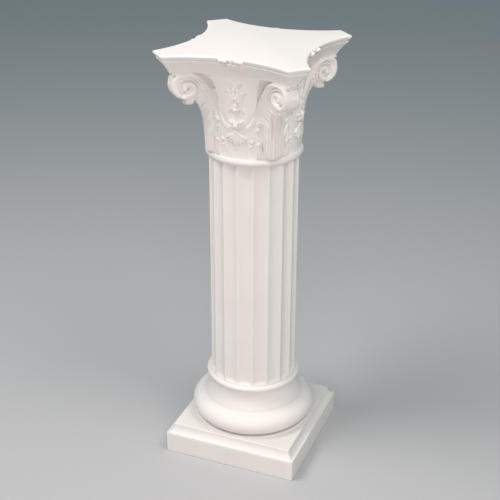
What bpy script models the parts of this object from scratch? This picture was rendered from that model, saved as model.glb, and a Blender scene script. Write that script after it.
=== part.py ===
# Decorative fluted column: moulded base, fluted shaft and a capital of leaves and scrolls.
# Metres, +Z up. The origin is the middle of the underside, and the front face looks along -Y.

import math

import bmesh
import bpy
from mathutils import Matrix, Vector

# Heights of the three castings and the joint between two of them
SHAFT_HEIGHT = 0.5114
CASTING_GAP = 0.0003

# Plinth: a square block whose shoulder is a cavetto
PLINTH_SIDE = 0.300
PLINTH_EDGE_HEIGHT = 0.048
PLINTH_SHOULDER_HEIGHT = 0.019
PLINTH_SHOULDER_INSET = 0.0135
PLINTH_CORNER_ROUND = 0.003

# Turned mouldings of the base, from the plinth upwards
FOOT_FILLET_RADIUS = 0.1325
FOOT_FILLET_HEIGHT = 0.0038
TORUS_RADIUS = 0.1364
TORUS_HEIGHT = 0.0436
TORUS_BULGE = 0.0314
TORUS_MIDDLE_SHARE = 0.477
TORUS_SEMI_SHARE = 0.568
CREASE_RADIUS = 0.108
CREASE_HEIGHT = 0.0056
SCOTIA_HEIGHT = 0.045
SCOTIA_DEPTH = 0.0045
RING_RADIUS = 0.1037
RING_HEIGHT = 0.0132
RING_BULGE_SHARE = 0.57

# Fluted shaft
SHAFT_RADIUS = 0.0943
FLUTE_COUNT = 18
FLUTE_DEPTH = 0.0062
FLUTE_TOE_HEIGHT = 0.006
FLUTE_FOOT_STRIP = 0.0012
FLUTE_HEAD_STRIP = 0.004

# Astragal and bell of the capital
ASTRAGAL_RADIUS = 0.1011
ASTRAGAL_HEIGHT = 0.0150
NECK_RADIUS = 0.0955
BELL_WAIST_RADIUS = 0.0968
BELL_LIP_RADIUS = 0.1045
BELL_HEIGHT = 0.1673

# Abacus: four concave sides and cut corners
ABACUS_HALF_WIDTH = 0.160
ABACUS_CUT_LENGTH = 0.0462
ABACUS_SIDE_HOLLOW = 0.036
ABACUS_LIP_HEIGHT = 0.0092
ABACUS_FILLET_HEIGHT = 0.0060
ABACUS_COVE_HEIGHT = 0.0280
ABACUS_LIP_STEP = 0.0062
ABACUS_COVE_INSET = 0.0170
ABACUS_COVE_CURVE = 1.3
ABACUS_EDGE_ROUND = 0.0030

# Corner scrolls, measured outwards along the diagonal
SCROLL_CENTRE_RADIUS = 0.1555
SCROLL_RADIUS = 0.0268
SCROLL_RIM_THICKNESS = 0.0225
SCROLL_SPLAY_DEG = 13.4
SCROLL_DROP = 0.0245
EYE_SHIFT_IN = 0.0090
EYE_DROP = 0.0070
COIL_INNER_RADIUS = 0.0065
COIL_TURNS = 1.6

# Band that runs up both sides of each face and winds into the scrolls
BAND_WIDTH = 0.0085
BAND_COIL_WIDTH = 0.0055
BAND_HEIGHT = 0.0038
BAND_BOTTOM_RISE = 0.0598
# Its climb: degrees from the middle of the face, and share of the way up to the abacus
BAND_CLIMB = [(0, 0.0), (7, 0.012), (13, 0.080), (18, 0.180), (22, 0.320), (26, 0.516), (30, 0.740)]

# Corner leaves: a ribbed middle, lobes down both sides and a rolled tip
LEAF_RIB_COUNT = 6
LEAF_HALF_WIDTH = 0.0230
LEAF_RIB_HEIGHT = 0.0026
LEAF_FOOT_THICKNESS = 0.0085
LEAF_HEAD_REACH = 0.0350
LEAF_TIP_RADIUS = 0.0078
LEAF_TIP_WIDTH = 0.0190
LEAF_TIP_OUT = 0.1400
LOBE_COUNT = 5
LOBE_WIDTH = 0.0190
LOBE_HEIGHT = 0.0052
LOBE_RISE = 0.0100
LOBE_SPREAD_FOOT_DEG = 29.0
LOBE_SPREAD_HEAD_DEG = 17.5

# Small ornament on the middle of each face, with heights above or below the band's lowest point
CROWN_RISE = 0.0800
CROWN_LEAF_LENGTH = 0.0190
CROWN_LEAF_WIDTH = 0.0070
CARTOUCHE_RISE = 0.0460
CARTOUCHE_LENGTH = 0.0240
CARTOUCHE_WIDTH = 0.0100
TENDRIL_LENGTH = 0.0200
TENDRIL_WIDTH = 0.0050
CLUSTER_RISE = 0.0430
CLUSTER_LEAF_LENGTH = 0.0130
CLUSTER_LEAF_WIDTH = 0.0075
BOW_RISE = 0.0120
BOW_LOOP_LENGTH = 0.0150
BOW_LOOP_WIDTH = 0.0095
PALMETTE_DROP = 0.0020
PALMETTE_LEAF_LENGTH = 0.0330
PALMETTE_LEAF_WIDTH = 0.0085
PALMETTE_LEAF_COUNT = 7
PALMETTE_FAN_DEG = 150.0
ORNAMENT_HEIGHT = 0.0032

# Fleuron on the middle of each abacus side
FLEURON_WIDTH = 0.0480
FLEURON_HEIGHT = 0.0270
FLEURON_PROUD = 0.0050
FLEURON_LUG_SPACING = 0.0350
FLEURON_LUG_WIDTH = 0.0130

# Fineness of the facets
TURNED_SEGMENTS = 48
FLUTE_SEGMENTS = 5
BELL_SEGMENTS = 40
SIDE_SEGMENTS = 7

# How far fused forms reach into each other, and how deep low relief is seated
OVERLAP = 0.004
SEATING = 0.0008

# What follows from the sizes above
QUARTER = math.pi / 2
PLINTH_HEIGHT = PLINTH_EDGE_HEIGHT + PLINTH_SHOULDER_HEIGHT
BASE_HEIGHT = (PLINTH_HEIGHT + FOOT_FILLET_HEIGHT + TORUS_HEIGHT + CREASE_HEIGHT
               + SCOTIA_HEIGHT + RING_HEIGHT)
SHAFT_BOTTOM = BASE_HEIGHT + CASTING_GAP
SHAFT_TOP = SHAFT_BOTTOM + SHAFT_HEIGHT
CAPITAL_BOTTOM = SHAFT_TOP + CASTING_GAP
BELL_BOTTOM = CAPITAL_BOTTOM + ASTRAGAL_HEIGHT
ABACUS_BOTTOM = BELL_BOTTOM + BELL_HEIGHT
ABACUS_HEIGHT = ABACUS_LIP_HEIGHT + ABACUS_FILLET_HEIGHT + ABACUS_COVE_HEIGHT
COLUMN_HEIGHT = ABACUS_BOTTOM + ABACUS_HEIGHT
ABACUS_UNDER_INSET = ABACUS_LIP_STEP + ABACUS_COVE_INSET
ABACUS_SIDE_HALF = ABACUS_HALF_WIDTH - ABACUS_CUT_LENGTH / math.sqrt(2)
SIDE_ARC_RADIUS = ((ABACUS_SIDE_HALF ** 2 + ABACUS_SIDE_HOLLOW ** 2) / (2 * ABACUS_SIDE_HOLLOW))
SIDE_ARC_CENTRE = ABACUS_HALF_WIDTH - ABACUS_SIDE_HOLLOW + SIDE_ARC_RADIUS
SCROLL_CENTRE_HEIGHT = ABACUS_BOTTOM - SCROLL_DROP
SCROLL_SPLAY = math.tan(math.radians(SCROLL_SPLAY_DEG))
SCROLL_OUTER_RADIUS = SCROLL_CENTRE_RADIUS + SCROLL_RADIUS
BAND_BOTTOM = BELL_BOTTOM + BAND_BOTTOM_RISE
LEAF_TOP = SCROLL_CENTRE_HEIGHT - SCROLL_RADIUS + OVERLAP
LEAF_BODY_HEIGHT = LEAF_TOP - BELL_BOTTOM
CARVING_ROOT = NECK_RADIUS * 0.85


def clear_scene():
    for item in list(bpy.data.objects):
        bpy.data.objects.remove(item, do_unlink=True)


def plaster(name, colour, roughness):
    material = bpy.data.materials.new(name)
    material.use_nodes = True
    shader = material.node_tree.nodes["Principled BSDF"]
    shader.inputs["Base Color"].default_value = (*colour, 1.0)
    shader.inputs["Roughness"].default_value = roughness
    shader.inputs["Metallic"].default_value = 0.0
    return material


def mesh_object(name, bm, material=None):
    """One object from a bmesh, with its faces pointing out and its round parts smooth."""
    bmesh.ops.recalc_face_normals(bm, faces=bm.faces)
    mesh = bpy.data.meshes.new(name)
    bm.to_mesh(mesh)
    bm.free()
    mesh.shade_smooth()
    mesh.set_sharp_from_angle(angle=math.radians(32))
    if material:
        mesh.materials.append(material)
    item = bpy.data.objects.new(name, mesh)
    bpy.context.scene.collection.objects.link(item)
    return item


def add_loft(bm, rings):
    """A closed solid through rings of points, each ring with the same number of points."""
    loops = [[bm.verts.new(point) for point in ring] for ring in rings]
    count = len(loops[0])
    for lower, upper in zip(loops, loops[1:]):
        for i in range(count):
            j = (i + 1) % count
            bm.faces.new((lower[i], lower[j], upper[j], upper[i]))
    bm.faces.new(list(reversed(loops[0])))
    bm.faces.new(loops[-1])


def lofted(name, rings, material=None):
    bm = bmesh.new()
    add_loft(bm, rings)
    return mesh_object(name, bm, material)


def arc(centre, radii, start_deg, end_deg, count):
    """Points (radius, height) along an elliptical arc."""
    points = []
    for i in range(count):
        angle = math.radians(start_deg + (end_deg - start_deg) * i / (count - 1))
        points.append((centre[0] + radii[0] * math.cos(angle),
                       centre[1] + radii[1] * math.sin(angle)))
    return points


def turned_rings(profile, segments):
    turns = [2 * math.pi * i / segments for i in range(segments)]
    return [[(r * math.cos(a), r * math.sin(a), z) for a in turns] for r, z in profile]


def smooth_step(t):
    t = min(max(t, 0.0), 1.0)
    return t * t * (3 - 2 * t)


def as_helper(item):
    item.hide_render = True
    item.display_type = "WIRE"


def fuse(body, pieces):
    """Joins the pieces to the body with one Boolean union of a helper collection."""
    helpers = bpy.data.collections.new(body.name + "_carving")
    bpy.context.scene.collection.children.link(helpers)
    for piece in pieces:
        bpy.context.scene.collection.objects.unlink(piece)
        helpers.objects.link(piece)
        as_helper(piece)
    union = body.modifiers.new("carving", "BOOLEAN")
    union.operation = "UNION"
    union.solver = "EXACT"
    union.operand_type = "COLLECTION"
    union.collection = helpers


# Base

def rounded_square(half, corner, z):
    points = []
    for k in range(4):
        for part in range(3):
            angle = k * QUARTER + part * QUARTER / 2
            middle = k * QUARTER + QUARTER / 2
            x = (half - corner) * math.sqrt(2) * math.cos(middle) + corner * math.cos(angle)
            y = (half - corner) * math.sqrt(2) * math.sin(middle) + corner * math.sin(angle)
            points.append((x, y, z))
    return points


def plinth_rings():
    half = PLINTH_SIDE / 2
    rings = [rounded_square(half, PLINTH_CORNER_ROUND, 0.0)]
    steps = 5
    for i in range(steps + 1):
        angle = QUARTER * i / steps
        inset = PLINTH_SHOULDER_INSET * math.sin(angle)
        z = PLINTH_HEIGHT - PLINTH_SHOULDER_HEIGHT * math.cos(angle)
        rings.append(rounded_square(half - inset, PLINTH_CORNER_ROUND, z))
    return rings


def base_profile():
    """Radius and height of the turned mouldings, from inside the plinth to the shaft's joint."""
    profile = [(FOOT_FILLET_RADIUS, PLINTH_HEIGHT - OVERLAP)]
    torus_bottom = PLINTH_HEIGHT + FOOT_FILLET_HEIGHT
    profile.append((FOOT_FILLET_RADIUS, torus_bottom))
    torus_mid = torus_bottom + TORUS_HEIGHT * TORUS_MIDDLE_SHARE
    semi = TORUS_HEIGHT * TORUS_SEMI_SHARE
    profile += arc((TORUS_RADIUS - TORUS_BULGE, torus_mid), (TORUS_BULGE, semi), -57, 66, 7)
    crease = torus_bottom + TORUS_HEIGHT + CREASE_HEIGHT
    profile.append((CREASE_RADIUS, crease))
    ring_bottom = crease + SCOTIA_HEIGHT
    ring_bulge = RING_HEIGHT * RING_BULGE_SHARE
    ring_start = -70
    ring_foot = RING_RADIUS - ring_bulge * (1 - math.cos(math.radians(ring_start)))
    for t in (0.25, 0.5, 0.75):
        radius = CREASE_RADIUS + (ring_foot - CREASE_RADIUS) * t - SCOTIA_DEPTH * math.sin(math.pi * t)
        profile.append((radius, crease + SCOTIA_HEIGHT * t))
    profile += arc((RING_RADIUS - ring_bulge, ring_bottom + RING_HEIGHT / 2),
                   (ring_bulge, RING_HEIGHT / 2), ring_start, 90, 5)
    return profile


def build_base(material):
    body = lofted("base", turned_rings(base_profile(), TURNED_SEGMENTS), material)
    fuse(body, [lofted("plinth_block", plinth_rings())])
    return body


# Shaft

def shaft_ring(z, flute):
    """One outline of the shaft; flute runs from 0, plain round, to 1, at the full depth."""
    points = []
    pitch = 2 * math.pi / FLUTE_COUNT
    for k in range(FLUTE_COUNT):
        for i in range(FLUTE_SEGMENTS):
            t = i / FLUTE_SEGMENTS
            angle = -QUARTER + (k + t) * pitch
            hollow = FLUTE_DEPTH * 4 * t * (1 - t) * flute
            radius = SHAFT_RADIUS - hollow
            points.append((radius * math.cos(angle), radius * math.sin(angle), z))
    return points


def build_shaft(material):
    toe = SHAFT_BOTTOM + FLUTE_FOOT_STRIP
    head = SHAFT_TOP - FLUTE_HEAD_STRIP
    rings = [shaft_ring(SHAFT_BOTTOM, 0.0), shaft_ring(toe, 0.0)]
    rings += [shaft_ring(toe + FLUTE_TOE_HEIGHT * t, math.sqrt(t)) for t in (0.3, 1.0)]
    rings += [shaft_ring(head - FLUTE_HEAD_STRIP / 2, 1.0), shaft_ring(head, 0.0)]
    rings.append(shaft_ring(SHAFT_TOP, 0.0))
    return lofted("shaft", rings, material)


# Capital

def side_radius(angle, inset):
    """Distance from the axis to the hollow side of the abacus, at an angle from its middle."""
    reach = (SIDE_ARC_RADIUS + inset) ** 2 - (SIDE_ARC_CENTRE * math.sin(angle)) ** 2
    return SIDE_ARC_CENTRE * math.cos(angle) - math.sqrt(max(reach, 0.0))


def bell_radius(angle, z):
    """Radius of the bell at an angle from the middle of a face, from -45 to 45 degrees."""
    t = (z - BELL_BOTTOM) / BELL_HEIGHT
    round_radius = NECK_RADIUS + (BELL_WAIST_RADIUS - NECK_RADIUS) * smooth_step(2 * t)
    lip = min(BELL_LIP_RADIUS, side_radius(angle, ABACUS_UNDER_INSET))
    return round_radius + (lip - round_radius) * smooth_step((t - 0.45) / 0.55)


def face_angle(angle):
    """The angle folded back to the nearest face, from -45 to 45 degrees."""
    return (angle + QUARTER / 2) % QUARTER - QUARTER / 2


def bell_rings():
    turns = [2 * math.pi * i / BELL_SEGMENTS for i in range(BELL_SEGMENTS)]
    half = ASTRAGAL_HEIGHT / 2
    rings = turned_rings([(NECK_RADIUS, CAPITAL_BOTTOM)], BELL_SEGMENTS)
    middle = (ASTRAGAL_RADIUS - half, CAPITAL_BOTTOM + half)
    rings += turned_rings(arc(middle, (half, half), -60, 60, 5), BELL_SEGMENTS)
    for t in (0.0, 0.45, 0.75, 1.0):
        z = BELL_BOTTOM + BELL_HEIGHT * t
        rings.append([(bell_radius(face_angle(a), z) * math.cos(a),
                       bell_radius(face_angle(a), z) * math.sin(a), z) for a in turns])
    top = ABACUS_BOTTOM + OVERLAP
    core = side_radius(0.0, ABACUS_UNDER_INSET + OVERLAP)
    return rings + turned_rings([(core, top)], BELL_SEGMENTS)


def abacus_outline(inset, z):
    """The concave-sided, cut-cornered outline of the abacus, drawn in by inset."""
    radius = SIDE_ARC_RADIUS + inset
    cut = (ABACUS_HALF_WIDTH + ABACUS_SIDE_HALF) / math.sqrt(2) - inset
    # The side arc meets the corner cut where x - y = cut * sqrt(2)
    reach = (cut * math.sqrt(2) - SIDE_ARC_CENTRE) / (radius * math.sqrt(2))
    end = math.asin(min(max(reach, -1.0), 1.0)) + QUARTER / 2
    points = []
    for k in range(4):
        turn = Matrix.Rotation(k * QUARTER, 3, "Z")
        for i in range(SIDE_SEGMENTS + 1):
            a = -end + 2 * end * i / SIDE_SEGMENTS
            point = Vector((radius * math.sin(a), radius * math.cos(a) - SIDE_ARC_CENTRE, z))
            points.append(turn @ point)
    return points


def abacus_profile():
    """Inset and height of the abacus mouldings, from the underside upwards."""
    cove_top = ABACUS_BOTTOM + ABACUS_COVE_HEIGHT
    lip_bottom = cove_top + ABACUS_FILLET_HEIGHT
    profile = []
    for share in (0.0, 0.4, 0.75, 1.0):
        inset = ABACUS_LIP_STEP + ABACUS_COVE_INSET * (1 - share ** ABACUS_COVE_CURVE)
        profile.append((inset, ABACUS_BOTTOM + ABACUS_COVE_HEIGHT * share))
    profile.append((ABACUS_LIP_STEP * 0.6, lip_bottom))
    profile.append((0.0, lip_bottom + ABACUS_EDGE_ROUND))
    profile.append((0.0, COLUMN_HEIGHT - ABACUS_EDGE_ROUND))
    profile.append((ABACUS_EDGE_ROUND * 0.3, COLUMN_HEIGHT - ABACUS_EDGE_ROUND * 0.3))
    profile.append((ABACUS_EDGE_ROUND, COLUMN_HEIGHT))
    return profile


def corner_point(out, across, z):
    """A point of the front right corner, measured along and across its diagonal."""
    half = math.sqrt(0.5)
    return Vector(((out + across) * half, (across - out) * half, z))


def face_point(angle, z, proud=0.0):
    """A point on the front face of the bell, stood off by proud."""
    radius = bell_radius(angle, z) + proud
    return Vector((radius * math.sin(angle), -radius * math.cos(angle), z))


def scroll_half_thickness(out):
    return SCROLL_RIM_THICKNESS / 2 + (SCROLL_OUTER_RADIUS - out) * SCROLL_SPLAY


def build_scroll_block():
    """The wedge between a corner's two scrolls, from the rim back into the bell."""
    outline = [(SCROLL_CENTRE_RADIUS + SCROLL_RADIUS * math.cos(a),
                SCROLL_CENTRE_HEIGHT + SCROLL_RADIUS * math.sin(a))
               for a in (math.radians(deg) for deg in range(-110, 101, 17))]
    outline.append((CARVING_ROOT, SCROLL_CENTRE_HEIGHT + SCROLL_RADIUS))
    outline.append((CARVING_ROOT, SCROLL_CENTRE_HEIGHT - SCROLL_RADIUS))
    rings = []
    for side in (-1, 1):
        rings.append([corner_point(out, side * scroll_half_thickness(out), z) for out, z in outline])
    return lofted("scroll_block", rings)


def sweep(name, path, widths, normals, height):
    """A ridge of two slopes along a path, its foot buried in what it lies on."""
    rings = []
    for i, point in enumerate(path):
        ahead = path[min(i + 1, len(path) - 1)] - path[max(i - 1, 0)]
        across = ahead.cross(normals[i]).normalized() * widths[i] / 2
        foot = point - normals[i] * SEATING
        rings.append([foot - across, point + normals[i] * height, foot + across])
    return lofted(name, rings)


def coil_point(turn):
    """Distance out and height of the scroll's coil, turn being the turns made since its top."""
    swing = math.radians(80) - turn * 2 * math.pi
    inner = smooth_step(turn / 0.9)
    reach = SCROLL_RADIUS - BAND_COIL_WIDTH / 2
    ring = COIL_INNER_RADIUS + (reach * 0.62 - COIL_INNER_RADIUS) * (1 - turn / COIL_TURNS)
    radius = reach + (ring - reach) * inner
    out = SCROLL_CENTRE_RADIUS - EYE_SHIFT_IN * inner + radius * math.cos(swing)
    return out, SCROLL_CENTRE_HEIGHT - EYE_DROP * inner + radius * math.sin(swing)


def build_band():
    """The band of the front face's right half: from its bottom up and into the scroll."""
    path, normals, widths = [], [], []
    rise = ABACUS_BOTTOM - BAND_BOTTOM
    for degrees, share in BAND_CLIMB:
        angle = math.radians(degrees)
        path.append(face_point(angle, BAND_BOTTOM + share * rise))
        normals.append(Vector((math.sin(angle), -math.cos(angle), 0)))
        widths.append(BAND_WIDTH)
    splay = math.radians(SCROLL_SPLAY_DEG)
    disc_normal = corner_point(math.sin(splay), -math.cos(splay), 0)
    start, start_normal = path[-1], normals[-1]
    coil_steps = 15
    coil = []
    for i in range(coil_steps + 1):
        # The steps lengthen towards the eye, where the coil is small
        out, z = coil_point(COIL_TURNS * (i / coil_steps) ** 1.1)
        coil.append(corner_point(out, -scroll_half_thickness(out), z))
    bridge = start.lerp(coil[0], 0.5)
    bridge.z = start.z + (coil[0].z - start.z) * math.sin(QUARTER / 2)
    path += [bridge] + coil
    normals += [start_normal.lerp(disc_normal, 0.5).normalized()] + [disc_normal] * len(coil)
    widths += [(BAND_WIDTH + BAND_COIL_WIDTH) / 2] + [BAND_COIL_WIDTH] * len(coil)
    return sweep("band", path, widths, normals, BAND_HEIGHT)


def add_petal(bm, root, tip, normal, width, height, bury):
    """A leaf of two facets either side of a crest, from root to tip."""
    across = (tip - root).cross(normal).normalized() * width / 2
    widest = root.lerp(tip, 0.55)
    ends = [bm.verts.new(root), bm.verts.new(tip)]
    belt = [bm.verts.new(widest - across), bm.verts.new(widest + normal * height),
            bm.verts.new(widest + across), bm.verts.new(widest - normal * bury)]
    for i in range(4):
        j = (i + 1) % 4
        bm.faces.new((ends[0], belt[j], belt[i]))
        bm.faces.new((ends[1], belt[i], belt[j]))


def petal_object(name, root, tip, normal, width, height, bury):
    bm = bmesh.new()
    add_petal(bm, root, tip, normal, width, height, bury)
    return mesh_object(name, bm)


def leaf_out(t):
    """How far the leaf's face stands from the axis, along the diagonal, up its height."""
    foot = NECK_RADIUS + LEAF_FOOT_THICKNESS
    return foot + LEAF_HEAD_REACH * (0.2 * t + 0.8 * t ** 5)


def build_leaf():
    """The ribbed middle of a corner leaf, with one crest for each rib."""
    columns = 2 * LEAF_RIB_COUNT + 1
    rings = []
    for t in (0.0, 0.5, 0.8, 1.0):
        z = BELL_BOTTOM + LEAF_BODY_HEIGHT * t
        half = LEAF_HALF_WIDTH * (1.0 - 0.4 * t ** 3)
        ring = []
        for i in range(columns):
            share = 2 * i / (columns - 1) - 1
            rib = LEAF_RIB_HEIGHT * (i % 2) * (1 - 0.3 * abs(share))
            fall = half * 0.55 * share ** 2
            ring.append(corner_point(leaf_out(t) - fall + rib, share * half, z))
        ring.append(corner_point(CARVING_ROOT, half, z))
        ring.append(corner_point(CARVING_ROOT, -half, z))
        rings.append(ring)
    return lofted("leaf", rings)


def build_leaf_tip():
    """The rolled tip of a corner leaf, hanging under the scrolls."""
    z = SCROLL_CENTRE_HEIGHT - SCROLL_RADIUS - LEAF_TIP_RADIUS
    rings = []
    for share, size in ((-1.0, 0.45), (-0.7, 0.9), (0.0, 1.0), (0.7, 0.9), (1.0, 0.45)):
        radius = LEAF_TIP_RADIUS * size
        outline = arc((LEAF_TIP_OUT, z), (radius, radius), -200, 20, 6)
        outline += [(LEAF_TIP_OUT + side * radius * 0.6, z + SCROLL_RADIUS) for side in (1, -1)]
        rings.append([corner_point(out, share * LEAF_TIP_WIDTH / 2, height) for out, height in outline])
    return lofted("leaf_tip", rings)


def build_lobes(side):
    """The curled lobes down one side of a corner leaf."""
    lobes = []
    for i in range(LOBE_COUNT):
        t = i / (LOBE_COUNT - 1)
        z = BELL_BOTTOM + LOBE_WIDTH * 0.3 + (LEAF_BODY_HEIGHT - LOBE_WIDTH * 1.3) * t
        spread = math.radians(LOBE_SPREAD_FOOT_DEG + (LOBE_SPREAD_HEAD_DEG - LOBE_SPREAD_FOOT_DEG) * t)
        root_angle = QUARTER / 2 - LEAF_HALF_WIDTH / NECK_RADIUS * 0.6
        tip_angle = QUARTER / 2 - spread
        root = face_point(root_angle, z, -SEATING)
        tip = face_point(tip_angle, z + LOBE_RISE, -SEATING)
        normal = Vector((math.sin(tip_angle), -math.cos(tip_angle), 0))
        bm = bmesh.new()
        add_petal(bm, root, tip, normal, LOBE_WIDTH, LOBE_HEIGHT, LOBE_HEIGHT)
        if side > 0:
            # Mirrors the lobe across the corner's diagonal
            for vert in bm.verts:
                vert.co = Vector((-vert.co.y, -vert.co.x, vert.co.z))
        lobes.append(mesh_object("lobe", bm))
    return lobes


def face_petal(name, z, length, lean_deg, width):
    """A petal on the middle line of the front face, leaning from straight up."""
    lean = math.radians(lean_deg)
    root = face_point(0.0, z, -SEATING)
    tip = face_point(length * math.sin(lean) / BELL_WAIST_RADIUS, z + length * math.cos(lean), -SEATING)
    return petal_object(name, root, tip, Vector((0, -1, 0)), width, ORNAMENT_HEIGHT,
                        ORNAMENT_HEIGHT * 1.3)


def build_face_ornament():
    """Crown, cartouche, leaf cluster, bow and palmette of the front face."""
    pieces = []
    for lean in (-40, 0, 40):
        pieces.append(face_petal("crown_leaf", BAND_BOTTOM + CROWN_RISE, CROWN_LEAF_LENGTH, lean,
                                 CROWN_LEAF_WIDTH))
    cartouche = BAND_BOTTOM + CARTOUCHE_RISE
    pieces.append(face_petal("cartouche", cartouche, CARTOUCHE_LENGTH, 0, CARTOUCHE_WIDTH))
    for lean in (-50, 50):
        pieces.append(face_petal("tendril", cartouche + CARTOUCHE_LENGTH / 2, TENDRIL_LENGTH, lean,
                                 TENDRIL_WIDTH))
    for lean in (-125, 180, 125):
        pieces.append(face_petal("cluster_leaf", BAND_BOTTOM + CLUSTER_RISE, CLUSTER_LEAF_LENGTH, lean,
                                 CLUSTER_LEAF_WIDTH))
    for lean in (-55, 55):
        pieces.append(face_petal("bow_loop", BAND_BOTTOM + BOW_RISE, BOW_LOOP_LENGTH, lean,
                                 BOW_LOOP_WIDTH))
    for i in range(PALMETTE_LEAF_COUNT):
        share = 2 * i / (PALMETTE_LEAF_COUNT - 1) - 1
        pieces.append(face_petal("palmette_leaf", BAND_BOTTOM - PALMETTE_DROP,
                                 PALMETTE_LEAF_LENGTH * (1 - 0.4 * abs(share)),
                                 180 + PALMETTE_FAN_DEG / 2 * share, PALMETTE_LEAF_WIDTH))
    return pieces


def build_fleuron():
    """The carved boss on the middle of the front side of the abacus."""
    side = ABACUS_HALF_WIDTH - ABACUS_SIDE_HOLLOW
    top = COLUMN_HEIGHT - ABACUS_EDGE_ROUND
    normal = Vector((0, -1, 0))
    slope = ABACUS_COVE_INSET / ABACUS_COVE_HEIGHT
    pieces = []
    for spread, drop in ((-1.0, 0.8), (0.0, 1.0), (1.0, 0.8)):
        root = Vector((0, -side, top))
        depth = FLEURON_HEIGHT * drop
        tip = Vector((spread * FLEURON_WIDTH / 2, -side + depth * slope, top - depth))
        pieces.append(petal_object("fleuron_leaf", root, tip, normal, FLEURON_WIDTH * 0.35,
                                   FLEURON_PROUD, FLEURON_PROUD * 3))
    height = COLUMN_HEIGHT - ABACUS_LIP_HEIGHT * 0.7
    reach = FLEURON_LUG_WIDTH / 2
    for x in (-FLEURON_LUG_SPACING / 2, FLEURON_LUG_SPACING / 2):
        pieces.append(petal_object("fleuron_lug", Vector((x - reach, -side, height)),
                                   Vector((x + reach, -side, height)), normal, ABACUS_LIP_HEIGHT,
                                   FLEURON_PROUD, FLEURON_PROUD))
    return pieces


def quarter_copies(pieces):
    """The pieces and their copies turned onto the other three faces or corners."""
    copies = list(pieces)
    for k in range(1, 4):
        for piece in pieces:
            copy = piece.copy()
            copy.matrix_world = Matrix.Rotation(k * QUARTER, 4, "Z")
            bpy.context.scene.collection.objects.link(copy)
            copies.append(copy)
    return copies


def mirrored(piece):
    """A copy of a front face piece mirrored across the middle of the face."""
    bm = bmesh.new()
    bm.from_mesh(piece.data)
    for vert in bm.verts:
        vert.co.x = -vert.co.x
    return mesh_object(piece.name + "_left", bm)


def build_capital(material):
    body = lofted("capital", bell_rings(), material)
    abacus = lofted("abacus", [abacus_outline(inset, z) for inset, z in abacus_profile()])
    band = build_band()
    quarter = [build_scroll_block(), band, mirrored(band), build_leaf(), build_leaf_tip()]
    quarter += build_lobes(-1) + build_lobes(1)
    quarter += build_face_ornament() + build_fleuron()
    fuse(body, [abacus] + quarter_copies(quarter))
    return body


def main():
    clear_scene()
    build_base(plaster("base_plaster", (0.82, 0.80, 0.77), 0.62))
    build_shaft(plaster("shaft_plaster", (0.84, 0.81, 0.77), 0.60))
    build_capital(plaster("capital_plaster", (0.83, 0.80, 0.76), 0.62))


main()
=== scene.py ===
# The looks of the plaster column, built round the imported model.
# Metres, +Z up; the front face looks along -Y. Relief is measured in millimetres.

import math

import bpy
import numpy as np
import openvdb
from mathutils import Matrix, Vector


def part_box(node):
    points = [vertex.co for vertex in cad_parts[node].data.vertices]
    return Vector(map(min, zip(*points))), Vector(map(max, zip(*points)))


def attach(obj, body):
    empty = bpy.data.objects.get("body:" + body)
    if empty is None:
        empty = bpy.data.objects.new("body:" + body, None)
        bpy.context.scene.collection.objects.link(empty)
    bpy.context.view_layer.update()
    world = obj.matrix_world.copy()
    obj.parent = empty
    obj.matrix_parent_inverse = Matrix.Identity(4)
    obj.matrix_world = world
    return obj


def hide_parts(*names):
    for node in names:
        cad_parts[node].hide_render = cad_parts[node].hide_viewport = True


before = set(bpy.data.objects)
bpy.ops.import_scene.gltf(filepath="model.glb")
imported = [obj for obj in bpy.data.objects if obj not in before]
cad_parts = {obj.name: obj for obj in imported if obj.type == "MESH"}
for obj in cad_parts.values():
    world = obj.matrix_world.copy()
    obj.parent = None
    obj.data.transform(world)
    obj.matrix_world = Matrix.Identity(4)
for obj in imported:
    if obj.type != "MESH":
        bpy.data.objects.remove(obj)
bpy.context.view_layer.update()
print("frame loaded with", ", ".join(sorted(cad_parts)))

mm = 0.001
quarter = math.pi / 2


# Place, turn and lens of the camera
view = {
    "place": (0.7533, -1.9017, 1.4538),
    "yaw": -21.84,      # degrees, to the left of straight ahead
    "pitch": -25.84,
    "roll": 0.17,
    "lens": 76.23,
    "sensor": 36.0,
}

studio = {
    "floorRadius": 14.0,
    "floorColour": (0.50, 0.51, 0.52),
    "skyColour": (0.72, 0.93, 1.0),
    "skyStrength": 0.32,
    "aim": (0.0, 0.0, 0.5),
    # high on the left, low in front, and high on the right: place, size, power, colour
    "lamps": {
        "keyLamp": ((-1.056, -0.886, 2.705), 1.2, 46.0, (1.0, 0.90, 0.87)),
        "fillLamp": ((0.959, -2.374, 0.951), 1.2, 28.0, (1.0, 0.83, 0.76)),
        "sideLamp": ((1.295, -0.471, 2.705), 1.2, 26.5, (1.0, 0.925, 0.875)),
    },
}


def addObject(name, data):
    thing = bpy.data.objects.new(name, data)
    bpy.context.scene.collection.objects.link(thing)
    return thing


def makeCamera():
    yaw = math.radians(view["yaw"])
    pitch = math.radians(view["pitch"])
    roll = math.radians(view["roll"])
    ahead = Vector((math.sin(yaw) * math.cos(pitch), math.cos(yaw) * math.cos(pitch), math.sin(pitch)))
    right = Vector((math.cos(yaw), -math.sin(yaw), 0))
    up = right.cross(ahead)
    turnedRight = math.cos(roll) * right + math.sin(roll) * up
    turnedUp = -math.sin(roll) * right + math.cos(roll) * up
    data = bpy.data.cameras.new("photoCamera")
    data.lens = view["lens"]
    data.sensor_width = view["sensor"]
    camera = addObject("photoCamera", data)
    camera.matrix_world = Matrix((turnedRight, turnedUp, -ahead)).transposed().to_4x4()
    camera.matrix_world.translation = view["place"]
    bpy.context.scene.camera = camera


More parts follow.
